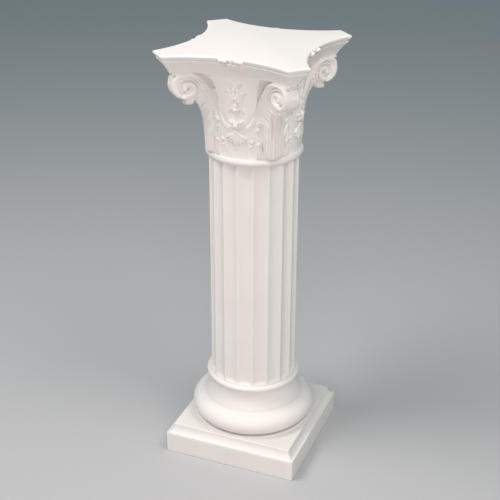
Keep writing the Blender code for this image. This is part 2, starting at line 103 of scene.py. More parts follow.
def areaLamp(name, place, size, power, colour):
    data = bpy.data.lights.new(name, "AREA")
    data.shape = "SQUARE"
    data.size = size
    data.energy = power
    data.color = colour
    lamp = addObject(name, data)
    lamp.location = place
    aim = Vector(studio["aim"]) - Vector(place)
    lamp.rotation_euler = aim.to_track_quat("-Z", "Y").to_euler()


def makeStudio():
    for name, (place, size, power, colour) in studio["lamps"].items():
        areaLamp(name, place, size, power, colour)
    world = bpy.data.worlds.new("studioAir")
    bpy.context.scene.world = world
    world.use_nodes = True
    air = world.node_tree.nodes["Background"]
    air.inputs["Color"].default_value = (*studio["skyColour"], 1)
    air.inputs["Strength"].default_value = studio["skyStrength"]
    reach = studio["floorRadius"]
    corners = [(-reach, -reach, 0), (reach, -reach, 0), (reach, reach, 0), (-reach, reach, 0)]
    mesh = bpy.data.meshes.new("floor")
    mesh.from_pydata(corners, [], [(0, 1, 2, 3)])
    floor = addObject("floor", mesh)
    paint = bpy.data.materials.new("floorPaint")
    paint.use_nodes = True
    shader = paint.node_tree.nodes["Principled BSDF"]
    shader.inputs["Base Color"].default_value = (*studio["floorColour"], 1)
    shader.inputs["Roughness"].default_value = 0.9
    mesh.materials.append(paint)


bpy.context.scene.view_settings.view_transform = "Standard"
makeCamera()
makeStudio()
print("camera, light and floor ready")


# Tones of the cast plaster and of its painted shade, as linear colours
plasterTones = {
    "body": (0.800, 0.780, 0.755),
    "shade": (0.760, 0.742, 0.715),
    # painted shade, darkening the hollows and the upward faces
    "hollow": (0.69, 0.672, 0.650),
    "edge": (0.855, 0.840, 0.82),
}

colourKind = "NodeSocketColor"
numberKind = "NodeSocketFloat"


def newGroup(name, inputs, outputs):
    group = bpy.data.node_groups.new(name, "ShaderNodeTree")
    for label, kind, value in inputs:
        socket = group.interface.new_socket(name=label, in_out="INPUT", socket_type=kind)
        socket.default_value = value
    for label, kind in outputs:
        group.interface.new_socket(name=label, in_out="OUTPUT", socket_type=kind)
    entry = group.nodes.new("NodeGroupInput")
    leave = group.nodes.new("NodeGroupOutput")
    return group, entry.outputs, leave.inputs


def addNode(group, kind, values=None):
    node = group.nodes.new("ShaderNode" + kind)
    for label, value in (values or {}).items():
        node.inputs[label].default_value = value
    return node


def joined(group, operation, first, second):
    # the product or the sum of two sockets
    node = addNode(group, "Math")
    node.operation = operation
    group.links.new(first, node.inputs[0])
    group.links.new(second, node.inputs[1])
    return node.outputs["Value"]


def blended(group, share, first, second):
    # a share of the second colour over the first
    node = addNode(group, "Mix")
    node.data_type = "RGBA"
    group.links.new(share, node.inputs["Factor"])
    group.links.new(first, node.inputs["A"])
    group.links.new(second, node.inputs["B"])
    return node.outputs["Result"]


def ranged(group, socket, values):
    node = addNode(group, "MapRange", values)
    group.links.new(socket, node.inputs["Value"])
    return node.outputs["Result"]


def makeMottleGroup():
    # soft cloudy change of tone, as cast plaster dries
    group, entry, leave = newGroup("plasterMottle", [
        ("Body", colourKind, (*plasterTones["body"], 1)),
        ("Shade", colourKind, (*plasterTones["shade"], 1)),
        ("Scale", numberKind, 14.0),
        ("Amount", numberKind, 0.6),
    ], [("Colour", colourKind)])
    place = addNode(group, "TexCoord").outputs["Object"]
    clouds = addNode(group, "TexNoise", {"Detail": 4.0, "Roughness": 0.55})
    group.links.new(place, clouds.inputs["Vector"])
    group.links.new(entry["Scale"], clouds.inputs["Scale"])
    spread = ranged(group, clouds.outputs["Fac"], {"From Min": 0.35, "From Max": 0.68})
    share = joined(group, "MULTIPLY", spread, entry["Amount"])
    group.links.new(blended(group, share, entry["Body"], entry["Shade"]), leave["Colour"])
    return group


def makeHollowGroup():
    # painted shade on upward faces and in the hollows, and paler worn edges, from each mesh's hollow
    # attribute
    group, entry, leave = newGroup("paintedShadeAndWear", [
        ("Colour", colourKind, (0.8, 0.8, 0.8, 1)),
        ("Painted Shade Tone", colourKind, (*plasterTones["hollow"], 1)),
        ("Edge Tone", colourKind, (*plasterTones["edge"], 1)),
        ("Hollow Shade", numberKind, 0.6),
        ("Wear", numberKind, 0.5),
        ("Top Shade", numberKind, 0.5),
    ], [("Colour", colourKind)])
    surface = addNode(group, "NewGeometry")
    direction = addNode(group, "SeparateXYZ")
    group.links.new(surface.outputs["Normal"], direction.inputs["Vector"])
    hollow = addNode(group, "Attribute")
    hollow.attribute_name = "hollow"
    # each layer over the one before: where it lies, how strong it is, its tone
    layers = [
        # painted shade on faces that look straight up
        (direction.outputs["Z"], {"From Min": 0.97, "From Max": 1.0}, "Top Shade", "Painted Shade Tone"),
        # painted shade in the hollows
        (hollow.outputs["Fac"], {"From Min": 0.52, "From Max": 0.95}, "Hollow Shade", "Painted Shade Tone"),
        (hollow.outputs["Fac"], {"From Min": 0.48, "From Max": 0.10}, "Wear", "Edge Tone"),
    ]
    tone = entry["Colour"]
    for source, span, amount, layerTone in layers:
        share = joined(group, "MULTIPLY", ranged(group, source, span), entry[amount])
        tone = blended(group, share, tone, entry[layerTone])
    group.links.new(tone, leave["Colour"])
    return group


def makeGrainGroup():
    # fine grain of the cast skin with a few pin holes, as a height for Bump
    group, entry, leave = newGroup("castGrain", [
        ("Scale", numberKind, 900.0),
        ("Grain", numberKind, 0.5),
        ("Pin Holes", numberKind, 0.5),
        ("Waves", numberKind, 0.5),
    ], [("Height", numberKind), ("Roughness", numberKind)])
    place = addNode(group, "TexCoord").outputs["Object"]
    grain = addNode(group, "TexNoise", {"Detail": 3.0})
    pits = addNode(group, "TexVoronoi", {"Scale": 160.0})
    waves = addNode(group, "TexNoise", {"Scale": 28.0, "Detail": 2.0})
    for texture in (grain, pits, waves):
        group.links.new(place, texture.inputs["Vector"])
    group.links.new(entry["Scale"], grain.inputs["Scale"])
    pitEdge = ranged(group, pits.outputs["Distance"], {"From Min": 0.03, "From Max": 0.10})
    height = joined(group, "MULTIPLY", grain.outputs["Fac"], entry["Grain"])
    for source, amount in ((pitEdge, "Pin Holes"), (waves.outputs["Fac"], "Waves")):
        height = joined(group, "ADD", height, joined(group, "MULTIPLY", source, entry[amount]))
    group.links.new(height, leave["Height"])
    rough = ranged(group, waves.outputs["Fac"], {"To Min": 0.52, "To Max": 0.74})
    group.links.new(rough, leave["Roughness"])
    return group


mottleGroup = makeMottleGroup()
hollowGroup = makeHollowGroup()
grainGroup = makeGrainGroup()


def placeGroup(tree, group, values):
    node = tree.nodes.new("ShaderNodeGroup")
    node.node_tree = group
    for label, value in values.items():
        node.inputs[label].default_value = value
    return node


def plaster(name, finish):
    material = bpy.data.materials.new(name)
    material.use_nodes = True
    tree = material.node_tree
    shader = tree.nodes["Principled BSDF"]
    mottle = placeGroup(tree, mottleGroup, {"Scale": finish["cloudScale"], "Amount": finish["clouds"]})
    # painted shade in the hollows and on upward faces, and paler worn edges
    hollow = placeGroup(tree, hollowGroup, {
        "Hollow Shade": finish["hollowShade"], "Wear": finish["wear"], "Top Shade": finish["topShade"]})
    grain = placeGroup(tree, grainGroup, {
        "Scale": finish["grainScale"], "Grain": finish["grain"],
        "Pin Holes": finish["pinHoles"], "Waves": finish["waves"]})
    bump = tree.nodes.new("ShaderNodeBump")
    bump.inputs["Strength"].default_value = finish["bump"]
    bump.inputs["Distance"].default_value = 0.0006
    tree.links.new(mottle.outputs["Colour"], hollow.inputs["Colour"])
    tree.links.new(hollow.outputs["Colour"], shader.inputs["Base Color"])
    tree.links.new(grain.outputs["Roughness"], shader.inputs["Roughness"])
    tree.links.new(grain.outputs["Height"], bump.inputs["Height"])
    tree.links.new(bump.outputs["Normal"], shader.inputs["Normal"])
    shader.inputs["Metallic"].default_value = 0.0
    shader.inputs["Specular IOR Level"].default_value = 0.35
    return material


def meshPiece(name, points, faces, material):
    mesh = bpy.data.meshes.new(name)
    mesh.from_pydata([tuple(point) for point in points], [], faces)
    mesh.validate()
    mesh.materials.append(material)
    return addObject(name, mesh)


def loftPiece(name, rings, material):
    # a closed solid through rings of points, given as an array of ring, point, xyz
    rings = np.asarray(rings, float)
    count, around = rings.shape[:2]
    points = rings.reshape(-1, 3)
    low = np.arange(count - 1)[:, None] * around
    here = np.arange(around)[None, :]
    ahead = (np.arange(around)[None, :] + 1) % around
    quads = np.stack([low + here, low + ahead, low + around + ahead, low + around + here], axis=-1)
    faces = quads.reshape(-1, 4).tolist()
    faces.append(list(range(around))[::-1])
    faces.append(list(range((count - 1) * around, count * around)))
    return meshPiece(name, points, faces, material)


def joinSolids(body, other):
    union = body.modifiers.new("join", "BOOLEAN")
    union.operation = "UNION"
    union.solver = "MANIFOLD"
    union.object = other
    applyModifiers(body)
    bpy.data.objects.remove(other, do_unlink=True)


def applyModifiers(piece):
    graph = bpy.context.evaluated_depsgraph_get()
    mesh = bpy.data.meshes.new_from_object(piece.evaluated_get(graph))
    piece.modifiers.clear()
    old = piece.data
    piece.data = mesh
    mesh.name = piece.name
    bpy.data.meshes.remove(old)


def readRows(items, label, width, kind=float):
    values = np.empty(len(items) * width, kind)
    items.foreach_get(label, values)
    return values.reshape(-1, width)


def markHollows(piece, rounds, depth):
    # how deep each point lies below its smoothed surroundings: 0.5 flat, 1 hollow, 0 edge
    mesh = piece.data
    points = readRows(mesh.vertices, "co", 3)
    normals = readRows(mesh.vertex_normals, "vector", 3)
    edges = readRows(mesh.edges, "vertices", 2, int)
    ends = np.concatenate([edges, edges[:, ::-1]])
    neighbours = np.maximum(np.bincount(ends[:, 0], minlength=len(points)), 1)
    smooth = points.copy()
    for _ in range(rounds):
        near = np.stack([np.bincount(ends[:, 0], smooth[ends[:, 1], k], len(points)) for k in range(3)], 1)
        smooth = 0.5 * smooth + 0.5 * near / neighbours[:, None]
    sunk = ((smooth - points) * normals).sum(1)
    value = np.clip(0.5 + 0.5 * sunk / depth, 0, 1)
    layer = mesh.attributes.new("hollow", "FLOAT", "POINT")
    layer.data.foreach_set("value", value.astype(np.float32))


def finishPiece(piece, settings):
    # smooth faces with crisp edges, and the mask that the painted shade in the hollows and the wear on the
    # edges follow
    piece.data.shade_smooth()
    piece.data.set_sharp_from_angle(angle=math.radians(settings["sharpAngle"]))
    markHollows(piece, settings["hollowRounds"], settings["hollowDepth"])


def arcPoints(centre, radii, startDeg, endDeg, count):
    turn = np.radians(np.linspace(startDeg, endDeg, count))
    return np.stack([centre[0] + radii[0] * np.cos(turn), centre[1] + radii[1] * np.sin(turn)], 1)


def smoothStep(t):
    t = np.clip(t, 0.0, 1.0)
    return t * t * (3 - 2 * t)


# Square plinth and turned base, in metres
base = {
    "plinthHalf": 0.150,
    "edgeHeight": 0.048,
    "shoulderHeight": 0.019,
    "shoulderInset": 0.0135,
    "plinthCorner": 0.0030,
    "edgeRound": 0.0012,
    "filletRadius": 0.1325,
    "filletHeight": 0.0038,
    "torusRadius": 0.1364,
    "torusHeight": 0.0436,
    "torusBulge": 0.0314,
    "torusMiddle": 0.477,
    "torusSemi": 0.568,
    "creaseRadius": 0.108,
    "creaseHeight": 0.0056,
    "scotiaHeight": 0.045,
    "scotiaDepth": 0.0045,
    "ringRadius": 0.1037,
    "ringHeight": 0.0132,
    "ringBulge": 0.57,
    "filletSoft": 0.0008,
    "overlap": 0.004,           # how far the turned part reaches into the plinth
    "creaseDip": 0.0006,
    "torusArc": (-57, 66),      # degrees
    "ringArc": (-70, 90),
    "segments": 200,
    "sideFrom": 0.006,          # lowest level of points over the plinth's rounded foot
    "sideLevels": 8,
    "shoulderSteps": 14,
    "cornerSteps": 6,
    "sideSteps": 24,
    "sharpAngle": 38,
    "hollowRounds": 6,
    "hollowDepth": 0.0006,
    # the finish darkens the hollows and the upward faces with painted shade
    "finish": {"cloudScale": 11.0, "clouds": 0.5, "hollowShade": 0.5, "wear": 0.3, "topShade": 0.5,
               "grainScale": 900.0, "grain": 0.35, "pinHoles": 0.35, "waves": 0.9, "bump": 0.35},
}


def baseProfile():
    # radius and height, from inside the plinth to the top of the ring
    plinthTop = base["edgeHeight"] + base["shoulderHeight"]
    low = plinthTop + base["filletHeight"]
    r = base["filletRadius"]
    soft = base["filletSoft"]
    points = [(r, plinthTop - base["overlap"]), (r, low - soft), (r - soft, low)]
    middle = low + base["torusHeight"] * base["torusMiddle"]
    semi = base["torusHeight"] * base["torusSemi"]
    centre = (base["torusRadius"] - base["torusBulge"], middle)
    points += list(arcPoints(centre, (base["torusBulge"], semi), *base["torusArc"], 40))
    # the torus runs into the scotia through a soft crease
    crease = low + base["torusHeight"] + base["creaseHeight"]
    lastTorus = np.array(points[-1])
    creasePoint = np.array((base["creaseRadius"], crease))
    for t in (0.35, 0.7):
        spot = lastTorus + (creasePoint - lastTorus) * t
        points.append((spot[0] - base["creaseDip"] * math.sin(math.pi * t), spot[1]))
    bulge = base["ringHeight"] * base["ringBulge"]
    ringFoot = base["ringRadius"] - bulge * (1 - math.cos(math.radians(base["ringArc"][0])))
    for t in np.linspace(0, 1, 22)[:-1]:
        radius = base["creaseRadius"] + (ringFoot - base["creaseRadius"]) * t
        dip = base["scotiaDepth"] * math.sin(math.pi * t)
        points.append((radius - dip, crease + base["scotiaHeight"] * t))
    ringMiddle = crease + base["scotiaHeight"] + base["ringHeight"] / 2
    centre = (base["ringRadius"] - bulge, ringMiddle)
    points += list(arcPoints(centre, (bulge, base["ringHeight"] / 2), *base["ringArc"], 18))
    return np.array(points)


def turnedRings(profile, segments):
    turn = 2 * math.pi * np.arange(segments) / segments
    rings = np.empty((len(profile), segments, 3))
    rings[:, :, 0] = profile[:, :1] * np.cos(turn)
    rings[:, :, 1] = profile[:, :1] * np.sin(turn)
    rings[:, :, 2] = profile[:, 1:]
    return rings


def squareRing(half, corner, z):
    # a square outline with rounded corners
    cornerSteps = base["cornerSteps"]
    sideSteps = base["sideSteps"]
    points = []
    for k in range(4):
        middle = k * quarter + quarter / 2
        x = (half - corner) * math.sqrt(2) * math.cos(middle)
        y = (half - corner) * math.sqrt(2) * math.sin(middle)
        for i in range(cornerSteps + 1):
            angle = k * quarter + quarter * i / cornerSteps
            points.append((x + corner * math.cos(angle), y + corner * math.sin(angle), z))
        nextMiddle = middle + quarter
        nextX = (half - corner) * math.sqrt(2) * math.cos(nextMiddle)
        nextY = (half - corner) * math.sqrt(2) * math.sin(nextMiddle)
        out = (k + 1) * quarter
        start = np.array((x + corner * math.cos(out), y + corner * math.sin(out)))
        end = np.array((nextX + corner * math.cos(out), nextY + corner * math.sin(out)))
        for i in range(1, sideSteps):
            spot = start + (end - start) * i / sideSteps
            points.append((spot[0], spot[1], z))
    return points


def plinthRings():
    half = base["plinthHalf"]
    corner = base["plinthCorner"]
    soft = base["edgeRound"]
    top = base["edgeHeight"] + base["shoulderHeight"]
    sections = []
    for angle in np.linspace(0, quarter, 4):
        sections.append((soft * (1 - math.sin(angle)), soft * (1 - math.cos(angle))))
    for z in np.linspace(base["sideFrom"], base["edgeHeight"] - soft, base["sideLevels"]):
        sections.append((0.0, z))
    steps = base["shoulderSteps"]
    for i in range(steps + 1):
        angle = quarter * i / steps
        inset = base["shoulderInset"] * math.sin(angle) + soft * 0.3 * (i == 0)
        sections.append((inset, top - base["shoulderHeight"] * math.cos(angle)))
    # rounded inner edge of the shoulder's top
    last = sections[-1]
    sections[-1] = (last[0], last[1] - soft)
    sections.append((last[0] + soft * 0.3, last[1] - soft * 0.3))
    sections.append((last[0] + soft, last[1]))
    return [squareRing(half - inset, corner, z) for inset, z in sections]


def makeBase():
    material = plaster("basePlaster", base["finish"])
    piece = loftPiece("columnBase", turnedRings(baseProfile(), base["segments"]), material)
    plinth = loftPiece("plinthBlock", plinthRings(), material)
    joinSolids(piece, plinth)
    finishPiece(piece, base)
    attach(piece, "root")
    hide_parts("base")
    print("base made:", len(piece.data.polygons), "faces")


# Fluted drum, in metres
shaft = {
    "radius": 0.0943,
    "flutes": 18,
    "depth": 0.0062,
    "toeHeight": 0.009,
    "footStrip": 0.0012,
    "headStrip": 0.0010,
    "headSpan": 0.0050,
    "arrisRound": 0.05,       # share of a flute's width
    "pointsPerFlute": 20,
    "fullFrom": 0.020,        # the flutes' full depth starts this far above their toe
    "fullTo": 0.012,          # and ends this far below their head
    "fullLevels": 44,
    "sharpAngle": 50,
    "hollowRounds": 6,
    "hollowDepth": 0.0006,
    # the finish darkens the hollows and the upward faces with painted shade
    "finish": {"cloudScale": 9.0, "clouds": 0.6, "hollowShade": 0.35, "wear": 0.4, "topShade": 0.5,
               "grainScale": 900.0, "grain": 0.35, "pinHoles": 0.35, "waves": 0.9, "bump": 0.35},
}


def shaftRing(z, fluting):
    # one outline; fluting runs from 0, plain round, to 1, at the full depth
    count = shaft["pointsPerFlute"]
    t = np.tile(np.arange(count) / count, shaft["flutes"])
    start = np.repeat(np.arange(shaft["flutes"]), count)
    angle = -quarter + (start + t) * 2 * math.pi / shaft["flutes"]
    fromArris = np.minimum(t, 1 - t)
    soft = shaft["arrisRound"]
    hollow = 4 * t * (1 - t)
    rounded = 4 * soft * (1 - soft) * (0.45 + 0.55 * (fromArris / soft) ** 2)
    hollow = np.where(fromArris < soft, rounded, hollow)
    radius = shaft["radius"] - shaft["depth"] * hollow * fluting
    return np.stack([radius * np.cos(angle), radius * np.sin(angle), np.full(len(t), z)], 1)


def makeShaft():
    low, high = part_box("shaft")
    toe = low.z + shaft["footStrip"]
    head = high.z - shaft["headStrip"]
    rings = [shaftRing(low.z, 0.0), shaftRing(toe, 0.0)]
    for t in np.linspace(0.08, 1, 9):
        rings.append(shaftRing(toe + shaft["toeHeight"] * t, math.sqrt(1 - (1 - t) ** 2)))
    for z in np.linspace(toe + shaft["fullFrom"], head - shaft["fullTo"], shaft["fullLevels"]):
        rings.append(shaftRing(z, 1.0))
    for t in np.linspace(0, 1, 7):
        rings.append(shaftRing(head - shaft["headSpan"] * (1 - t), math.sqrt(max(1 - t * t, 0))))
    rings.append(shaftRing(high.z, 0.0))
    piece = loftPiece("columnShaft", rings, plaster("shaftPlaster", shaft["finish"]))
    finishPiece(piece, shaft)
    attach(piece, "root")
    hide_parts("shaft")
    print("shaft made:", len(piece.data.polygons), "faces")


def newRelief(low, high, step):
    # a height map over two directions; all in millimetres
    across = np.arange(low[0], high[0] + step / 2, step)
    up = np.arange(low[1], high[1] + step / 2, step)
    height = np.zeros((len(across), len(up)))
    return {"across": across, "up": up, "step": step, "ground": height, "height": height.copy()}


def curveThrough(points, spacing):
    # a smooth curve through the points; the first two columns are the place, others run along with it
    points = np.asarray(points, float)
    if len(points) < 2:
        return points
    ends = np.vstack([2 * points[0] - points[1], points, 2 * points[-1] - points[-2]])
    curve = []
    for a, b, c, d in zip(ends, ends[1:], ends[2:], ends[3:]):
        steps = max(int(np.hypot(*(c - b)[:2]) / spacing), 1)
        for t in np.arange(steps)[:, None] / steps:
            curve.append(0.5 * (2 * b + (c - a) * t + (2 * a - 5 * b + 4 * c - d) * t ** 2
                                + (3 * b - a - 3 * c + d) * t ** 3))
    curve.append(points[-1])
    return np.array(curve)


def nearPath(relief, curve, reach):
    # the part of the map near a curve: distance from it, and share of the way along
    step = relief["step"]
    low = ((curve[:, :2].min(0) - reach - (relief["across"][0], relief["up"][0])) / step).astype(int)
    high = ((curve[:, :2].max(0) + reach - (relief["across"][0], relief["up"][0])) / step).astype(int) + 1
    size = relief["height"].shape
    window = (slice(max(low[0], 0), max(min(high[0], size[0]), 0)),
              slice(max(low[1], 0), max(min(high[1], size[1]), 0)))
    x = relief["across"][window[0]][:, None]
    y = relief["up"][window[1]][None, :]
    shape = (x.shape[0], y.shape[1])
    best = np.full(shape, 1e9)
    along = np.zeros(shape)
    if len(curve) == 1:
        return window, np.hypot(x - curve[0, 0], y - curve[0, 1]), along
    lengths = np.hypot(*np.diff(curve[:, :2], axis=0).T)
    travelled = np.concatenate([[0], np.cumsum(lengths)])
    for i, length in enumerate(lengths):
        if length == 0:
            continue
        dx, dy = (curve[i + 1, :2] - curve[i, :2]) / length
        rx = x - curve[i, 0]
        ry = y - curve[i, 1]
        t = np.clip(rx * dx + ry * dy, 0, length)
        distance = np.hypot(rx - t * dx, ry - t * dy)
        closer = distance < best
        best = np.where(closer, distance, best)
        along = np.where(closer, (travelled[i] + t) / travelled[-1], along)
    return window, best, along


def valueAlong(values, along):
    if np.isscalar(values):
        return values
    return np.interp(along, np.linspace(0, 1, len(values)), values)


def raiseRidge(relief, points, width, height, bow=0.5, vein=0.0):
    # a rounded ridge; width and height may change along it, and vein sinks a line down its middle
    curve = curveThrough(points, 1.0)
    window, distance, along = nearPath(relief, curve, np.max(width))
    half = valueAlong(width, along) / 2
    dome = np.clip(1 - (distance / half) ** 2, 0, 1) ** bow
    top = valueAlong(height, along) * dome
    if vein:
        top = top - vein * np.exp(-(distance / (half * 0.28)) ** 2) * (dome > 0)
    here = relief["height"][window]
    relief["height"][window] = np.maximum(here, np.where(dome > 0, relief["ground"][window] + top, -1e9))


def cutGroove(relief, points, width, depth, spacing=1.0):
    curve = curveThrough(points, spacing)
    window, distance, along = nearPath(relief, curve, np.max(width) * 1.5)
    half = valueAlong(width, along) / 2
    relief["height"][window] -= valueAlong(depth, along) * smoothStep(1.35 - distance / half)


def raiseBead(relief, point, radius, height):
    raiseRidge(relief, [point], radius * 2, height)


def drillHole(relief, point, radius, depth):
    cutGroove(relief, [point], radius * 2, depth)


def insideOutline(relief, outline):
    # signed distance to a closed outline, positive inside
    curve = np.vstack([outline, outline[:1]])
    wholeMap = 1e4
    _, distance, _ = nearPath(relief, curve, wholeMap)
    x = relief["across"][:, None]
    y = relief["up"][None, :]
    inside = np.zeros(relief["height"].shape, bool)
    for (x0, y0), (x1, y1) in zip(curve[:, :2], curve[1:, :2]):
        if y0 == y1:
            continue
        crosses = (y0 > y) != (y1 > y)
        inside ^= crosses & (x < x0 + (y - y0) * (x1 - x0) / (y1 - y0))
    return np.where(inside, distance, -distance)


def blurMap(field, sigma):
    reach = int(math.ceil(3 * sigma))
    weights = np.exp(-0.5 * (np.arange(-reach, reach + 1) / sigma) ** 2)
    weights /= weights.sum()
    for axis in (0, 1):
        padded = np.pad(field, [(reach, reach) if k == axis else (0, 0) for k in (0, 1)], mode="edge")
        cells = np.arange(field.shape[axis])
        field = sum(weight * np.take(padded, cells + i, axis=axis) for i, weight in enumerate(weights))
    return field


def readMap(relief, field, across, up):
    # the map's value at given places, straight lines between its cells
    u = np.clip((across - relief["across"][0]) / relief["step"], 0, field.shape[0] - 1.001)
    v = np.clip((up - relief["up"][0]) / relief["step"], 0, field.shape[1] - 1.001)
    i = u.astype(int)
    j = v.astype(int)
    a = (u - i).astype(np.float32)
    b = (v - j).astype(np.float32)
    low = field[i, j] * (1 - b) + field[i, j + 1] * b
    high = field[i + 1, j] * (1 - b) + field[i + 1, j + 1] * b
    return low * (1 - a) + high * a


# Astragal, bell, corner leaves and scrolls, in metres
capital = {
    "bottom": 0.6902,
    "astragalRadius": 0.1011,
    "astragalHeight": 0.0150,
    "neckRadius": 0.0955,
    "neckRise": 0.004,
    "carvedFrom": 0.002,        # the carving starts this far below the bell's foot
    "waistRadius": 0.0968,
    "flareLimit": 0.119,
    "flareStart": 0.598,
    "flareCurve": 1.65,
    "bellHeight": 0.1673,
    "coveLift": 0.0032,         # the cove starts this far above the top of the bell
    "halfWidth": 0.160,
    "cutLength": 0.0462,
    "sideHollow": 0.036,
    "underInset": 0.0232,
    "scrollRadius": 0.0268,
    "scrollOut": 0.1555,
    "scrollDrop": 0.0245,
    "rimThickness": 0.0225,
    "splay": 13.4,              # degrees that a scroll's side turns from the diagonal
    "tipOut": 0.1425,
    "tipRadius": 0.0066,
    "tipLength": 0.0084,
    "tipDrop": 0.0066,
    "tipWidth": 0.0262,
    "tipLobes": 0.0005,
    "tipTall": 0.010,
    "tipLean": 0.35,
    "leafFoot": 0.0085,
    "leafReach": 0.035,
    "leafLean": 0.2,            # share of the reach that grows evenly with height
    "leafHalf": 0.0230,
    "leafTaper": 0.4,
    "leafBow": 0.55,
    "leafFall": 1.5,            # near its head the leaf falls away faster on both sides
    "leafUnder": 0.004,         # how far it runs up behind the scroll
    "leafSoft": 1.5,            # soft joins, in millimetres
    "tipSoft": 1.2,
    "scrollSoft": 2.0,
    "spoolSoft": 3.0,
    "headSlope": 1.35,          # how fast the scrolls' heads run in to the cove
    "headAbove": 0.0060,
    "voxel": 0.0008,            # cell of the distance field, and how far the field goes
    "fieldReach": 0.187,
    "fieldHeights": (0.6886, 0.8850),
    "triangles": 155000,
    "sharpAngle": 50,
    "hollowRounds": 8,
    "hollowDepth": 0.0009,
    # the finish darkens the hollows and the upward faces with painted shade
    "finish": {"cloudScale": 14.0, "clouds": 0.5, "hollowShade": 0.75, "wear": 0.45, "topShade": 0.5,
               "grainScale": 900.0, "grain": 0.35, "pinHoles": 0.3, "waves": 0.6, "bump": 0.3},
}

bellBottom = capital["bottom"] + capital["astragalHeight"]
abacusBottom = bellBottom + capital["bellHeight"]
underside = abacusBottom + capital["coveLift"]
scrollHeight = abacusBottom - capital["scrollDrop"]
scrollReach = capital["scrollOut"] + capital["scrollRadius"]
sideHalf = capital["halfWidth"] - capital["cutLength"] / math.sqrt(2)
sideArcRadius = (sideHalf ** 2 + capital["sideHollow"] ** 2) / (2 * capital["sideHollow"])
sideArcCentre = capital["halfWidth"] - capital["sideHollow"] + sideArcRadius
bellScale = capital["waistRadius"] / mm      # millimetres round the bell for one radian
degree = bellScale * math.pi / 180


def onBell(points):
    # places given as degrees from the middle of the face and millimetres above the bell's foot
    points = np.asarray(points, float).copy()
    points[:, 0] *= degree
    return points


# The U-shaped band that joins two scrolls: its rounded crest and the flat strip outside it
bandCrest = [(-12, 65), (-8, 61.2), (0, 59.4), (8, 61.2), (12, 65), (15.2, 69.6), (17.9, 75), (20.9, 85),
             (23.6, 95), (25.8, 105), (27.5, 115), (28.9, 125), (29.8, 135)]
bandCrestWidth = [5.4, 5, 3.8, 3.4, 3.6, 4.2, 4.8]
bandCrestRise = [3.2, 3, 2.4, 1.4, 1, 1.1, 1.8, 2.8, 4]
bandFlat = [(-12, 60.6), (-8, 57.6), (0, 56.2), (8, 57.6), (12.6, 61.4), (16.2, 67.4), (19.8, 75),
            (22.7, 85), (25.2, 95), (27.3, 105), (29.2, 115), (31, 125)]
bandFlatWidth = [7, 7.4, 8.4, 9, 9.4, 9.6]
bandFlatRise = [1.5, 1.2, 1, 1, 1.3, 1.7]

# The hollow between the plain field and the band, opening towards the abacus
fieldEdge = [(9, 67), (13.2, 75), (17.2, 85), (20.3, 95), (22.7, 105), (24, 115), (24.4, 125), (24.5, 135),
             (24.7, 145), (25.2, 155), (26, 165), (26.2, 170)]
channelFar = [(44, 170), (44, 125), (34, 121), (29.4, 114), (26.4, 106), (23.5, 95), (17.8, 75), (11, 65)]
bandHollow = {
    "foot": 66.0,               # millimetres above the bell's foot
    "footDepth": 0.8,
    "deepensFrom": 80.0,
    "deepensOver": 87.0,
    "depth": 15.0,
    "curve": 1.05,
    "flank": 1.3,
}

# Leaf blade behind the lobes
bladeOutline = [(23.6, -2), (23.8, 12), (24.4, 24), (25, 38), (24.6, 50), (23.6, 58), (25, 66), (24.6, 74),
                (26.4, 82), (28.8, 90), (27.6, 101), (28.4, 107), (33, 110), (46, 114), (46, -2)]

# Stalks of the corner leaf, each ending in a lobe that curls outwards: path, widths, heights
leafLobes = [
    # the pair of ribs up the middle
    ([(42.7, -3), (42.7, 40), (42.6, 80), (43, 112)], [8, 8.2, 7.6, 6], [1.4, 1.7, 2, 2]),
    # top lobe: its stalk, its rolled rim and the fold below
    ([(38.9, -3), (39, 40), (39, 72), (38.2, 88), (36.4, 97), (33, 102), (29, 103.6)],
     [5.2, 5.4, 6.2, 7.6, 9.4, 9, 5], [1.3, 1.6, 2, 2.2, 2.2, 2, 1.4]),
    ([(40, 96), (37.6, 103.4), (34.4, 107.4), (31, 108.4), (27, 106.4)], [2.6, 3.2, 3.6, 3.6, 2.6],
     [2.6, 3.4, 3.8, 3.6, 2.4]),
    ([(37, 76), (35.4, 86), (32, 92.6), (28.2, 97.6)], [3.4, 4.4, 4.6, 3.2], [2.2, 2.9, 3, 2.2]),
    # second lobe
    ([(35.8, -3), (35.9, 36), (35.6, 58), (34, 72), (31.6, 82), (28.8, 86)], [5.2, 5.4, 6.4, 8.6, 11, 7],
     [1.2, 1.4, 1.9, 2.3, 2.9, 2.2]),
    ([(33, 66), (30.4, 75.6), (27.4, 78.2), (25, 74.6)], [4.4, 6.4, 6, 3.6], [2.2, 3.2, 3.4, 2.8]),
    # third lobe
    ([(32.8, -3), (32.9, 26), (32.2, 42), (30.6, 54), (28.2, 62.4), (25.2, 62)],
     [5, 5.2, 6.6, 8.4, 7.4, 3.6], [1.1, 1.4, 2, 2.7, 3, 2.2]),
    # curled sprout at the foot
    ([(29.4, -3), (29.6, 14), (29.4, 27), (28.4, 33.4), (26.6, 34.2), (25.4, 30.8)],
     [4.8, 4.6, 4.2, 4.2, 4, 2.8], [1, 1.6, 3, 4.4, 4.6, 3.2]),
    ([(26, -3), (26, 12), (25.4, 22), (23.8, 28)], [4.4, 4.2, 3.6, 2.2], [0.9, 1.2, 1.3, 0.8]),
    ([(27.6, 37), (24.4, 44.4), (21, 48.6), (17.6, 49)], [2.2, 2.4, 2.4, 1.6], [1.2, 1, 0.9, 0.5]),
]

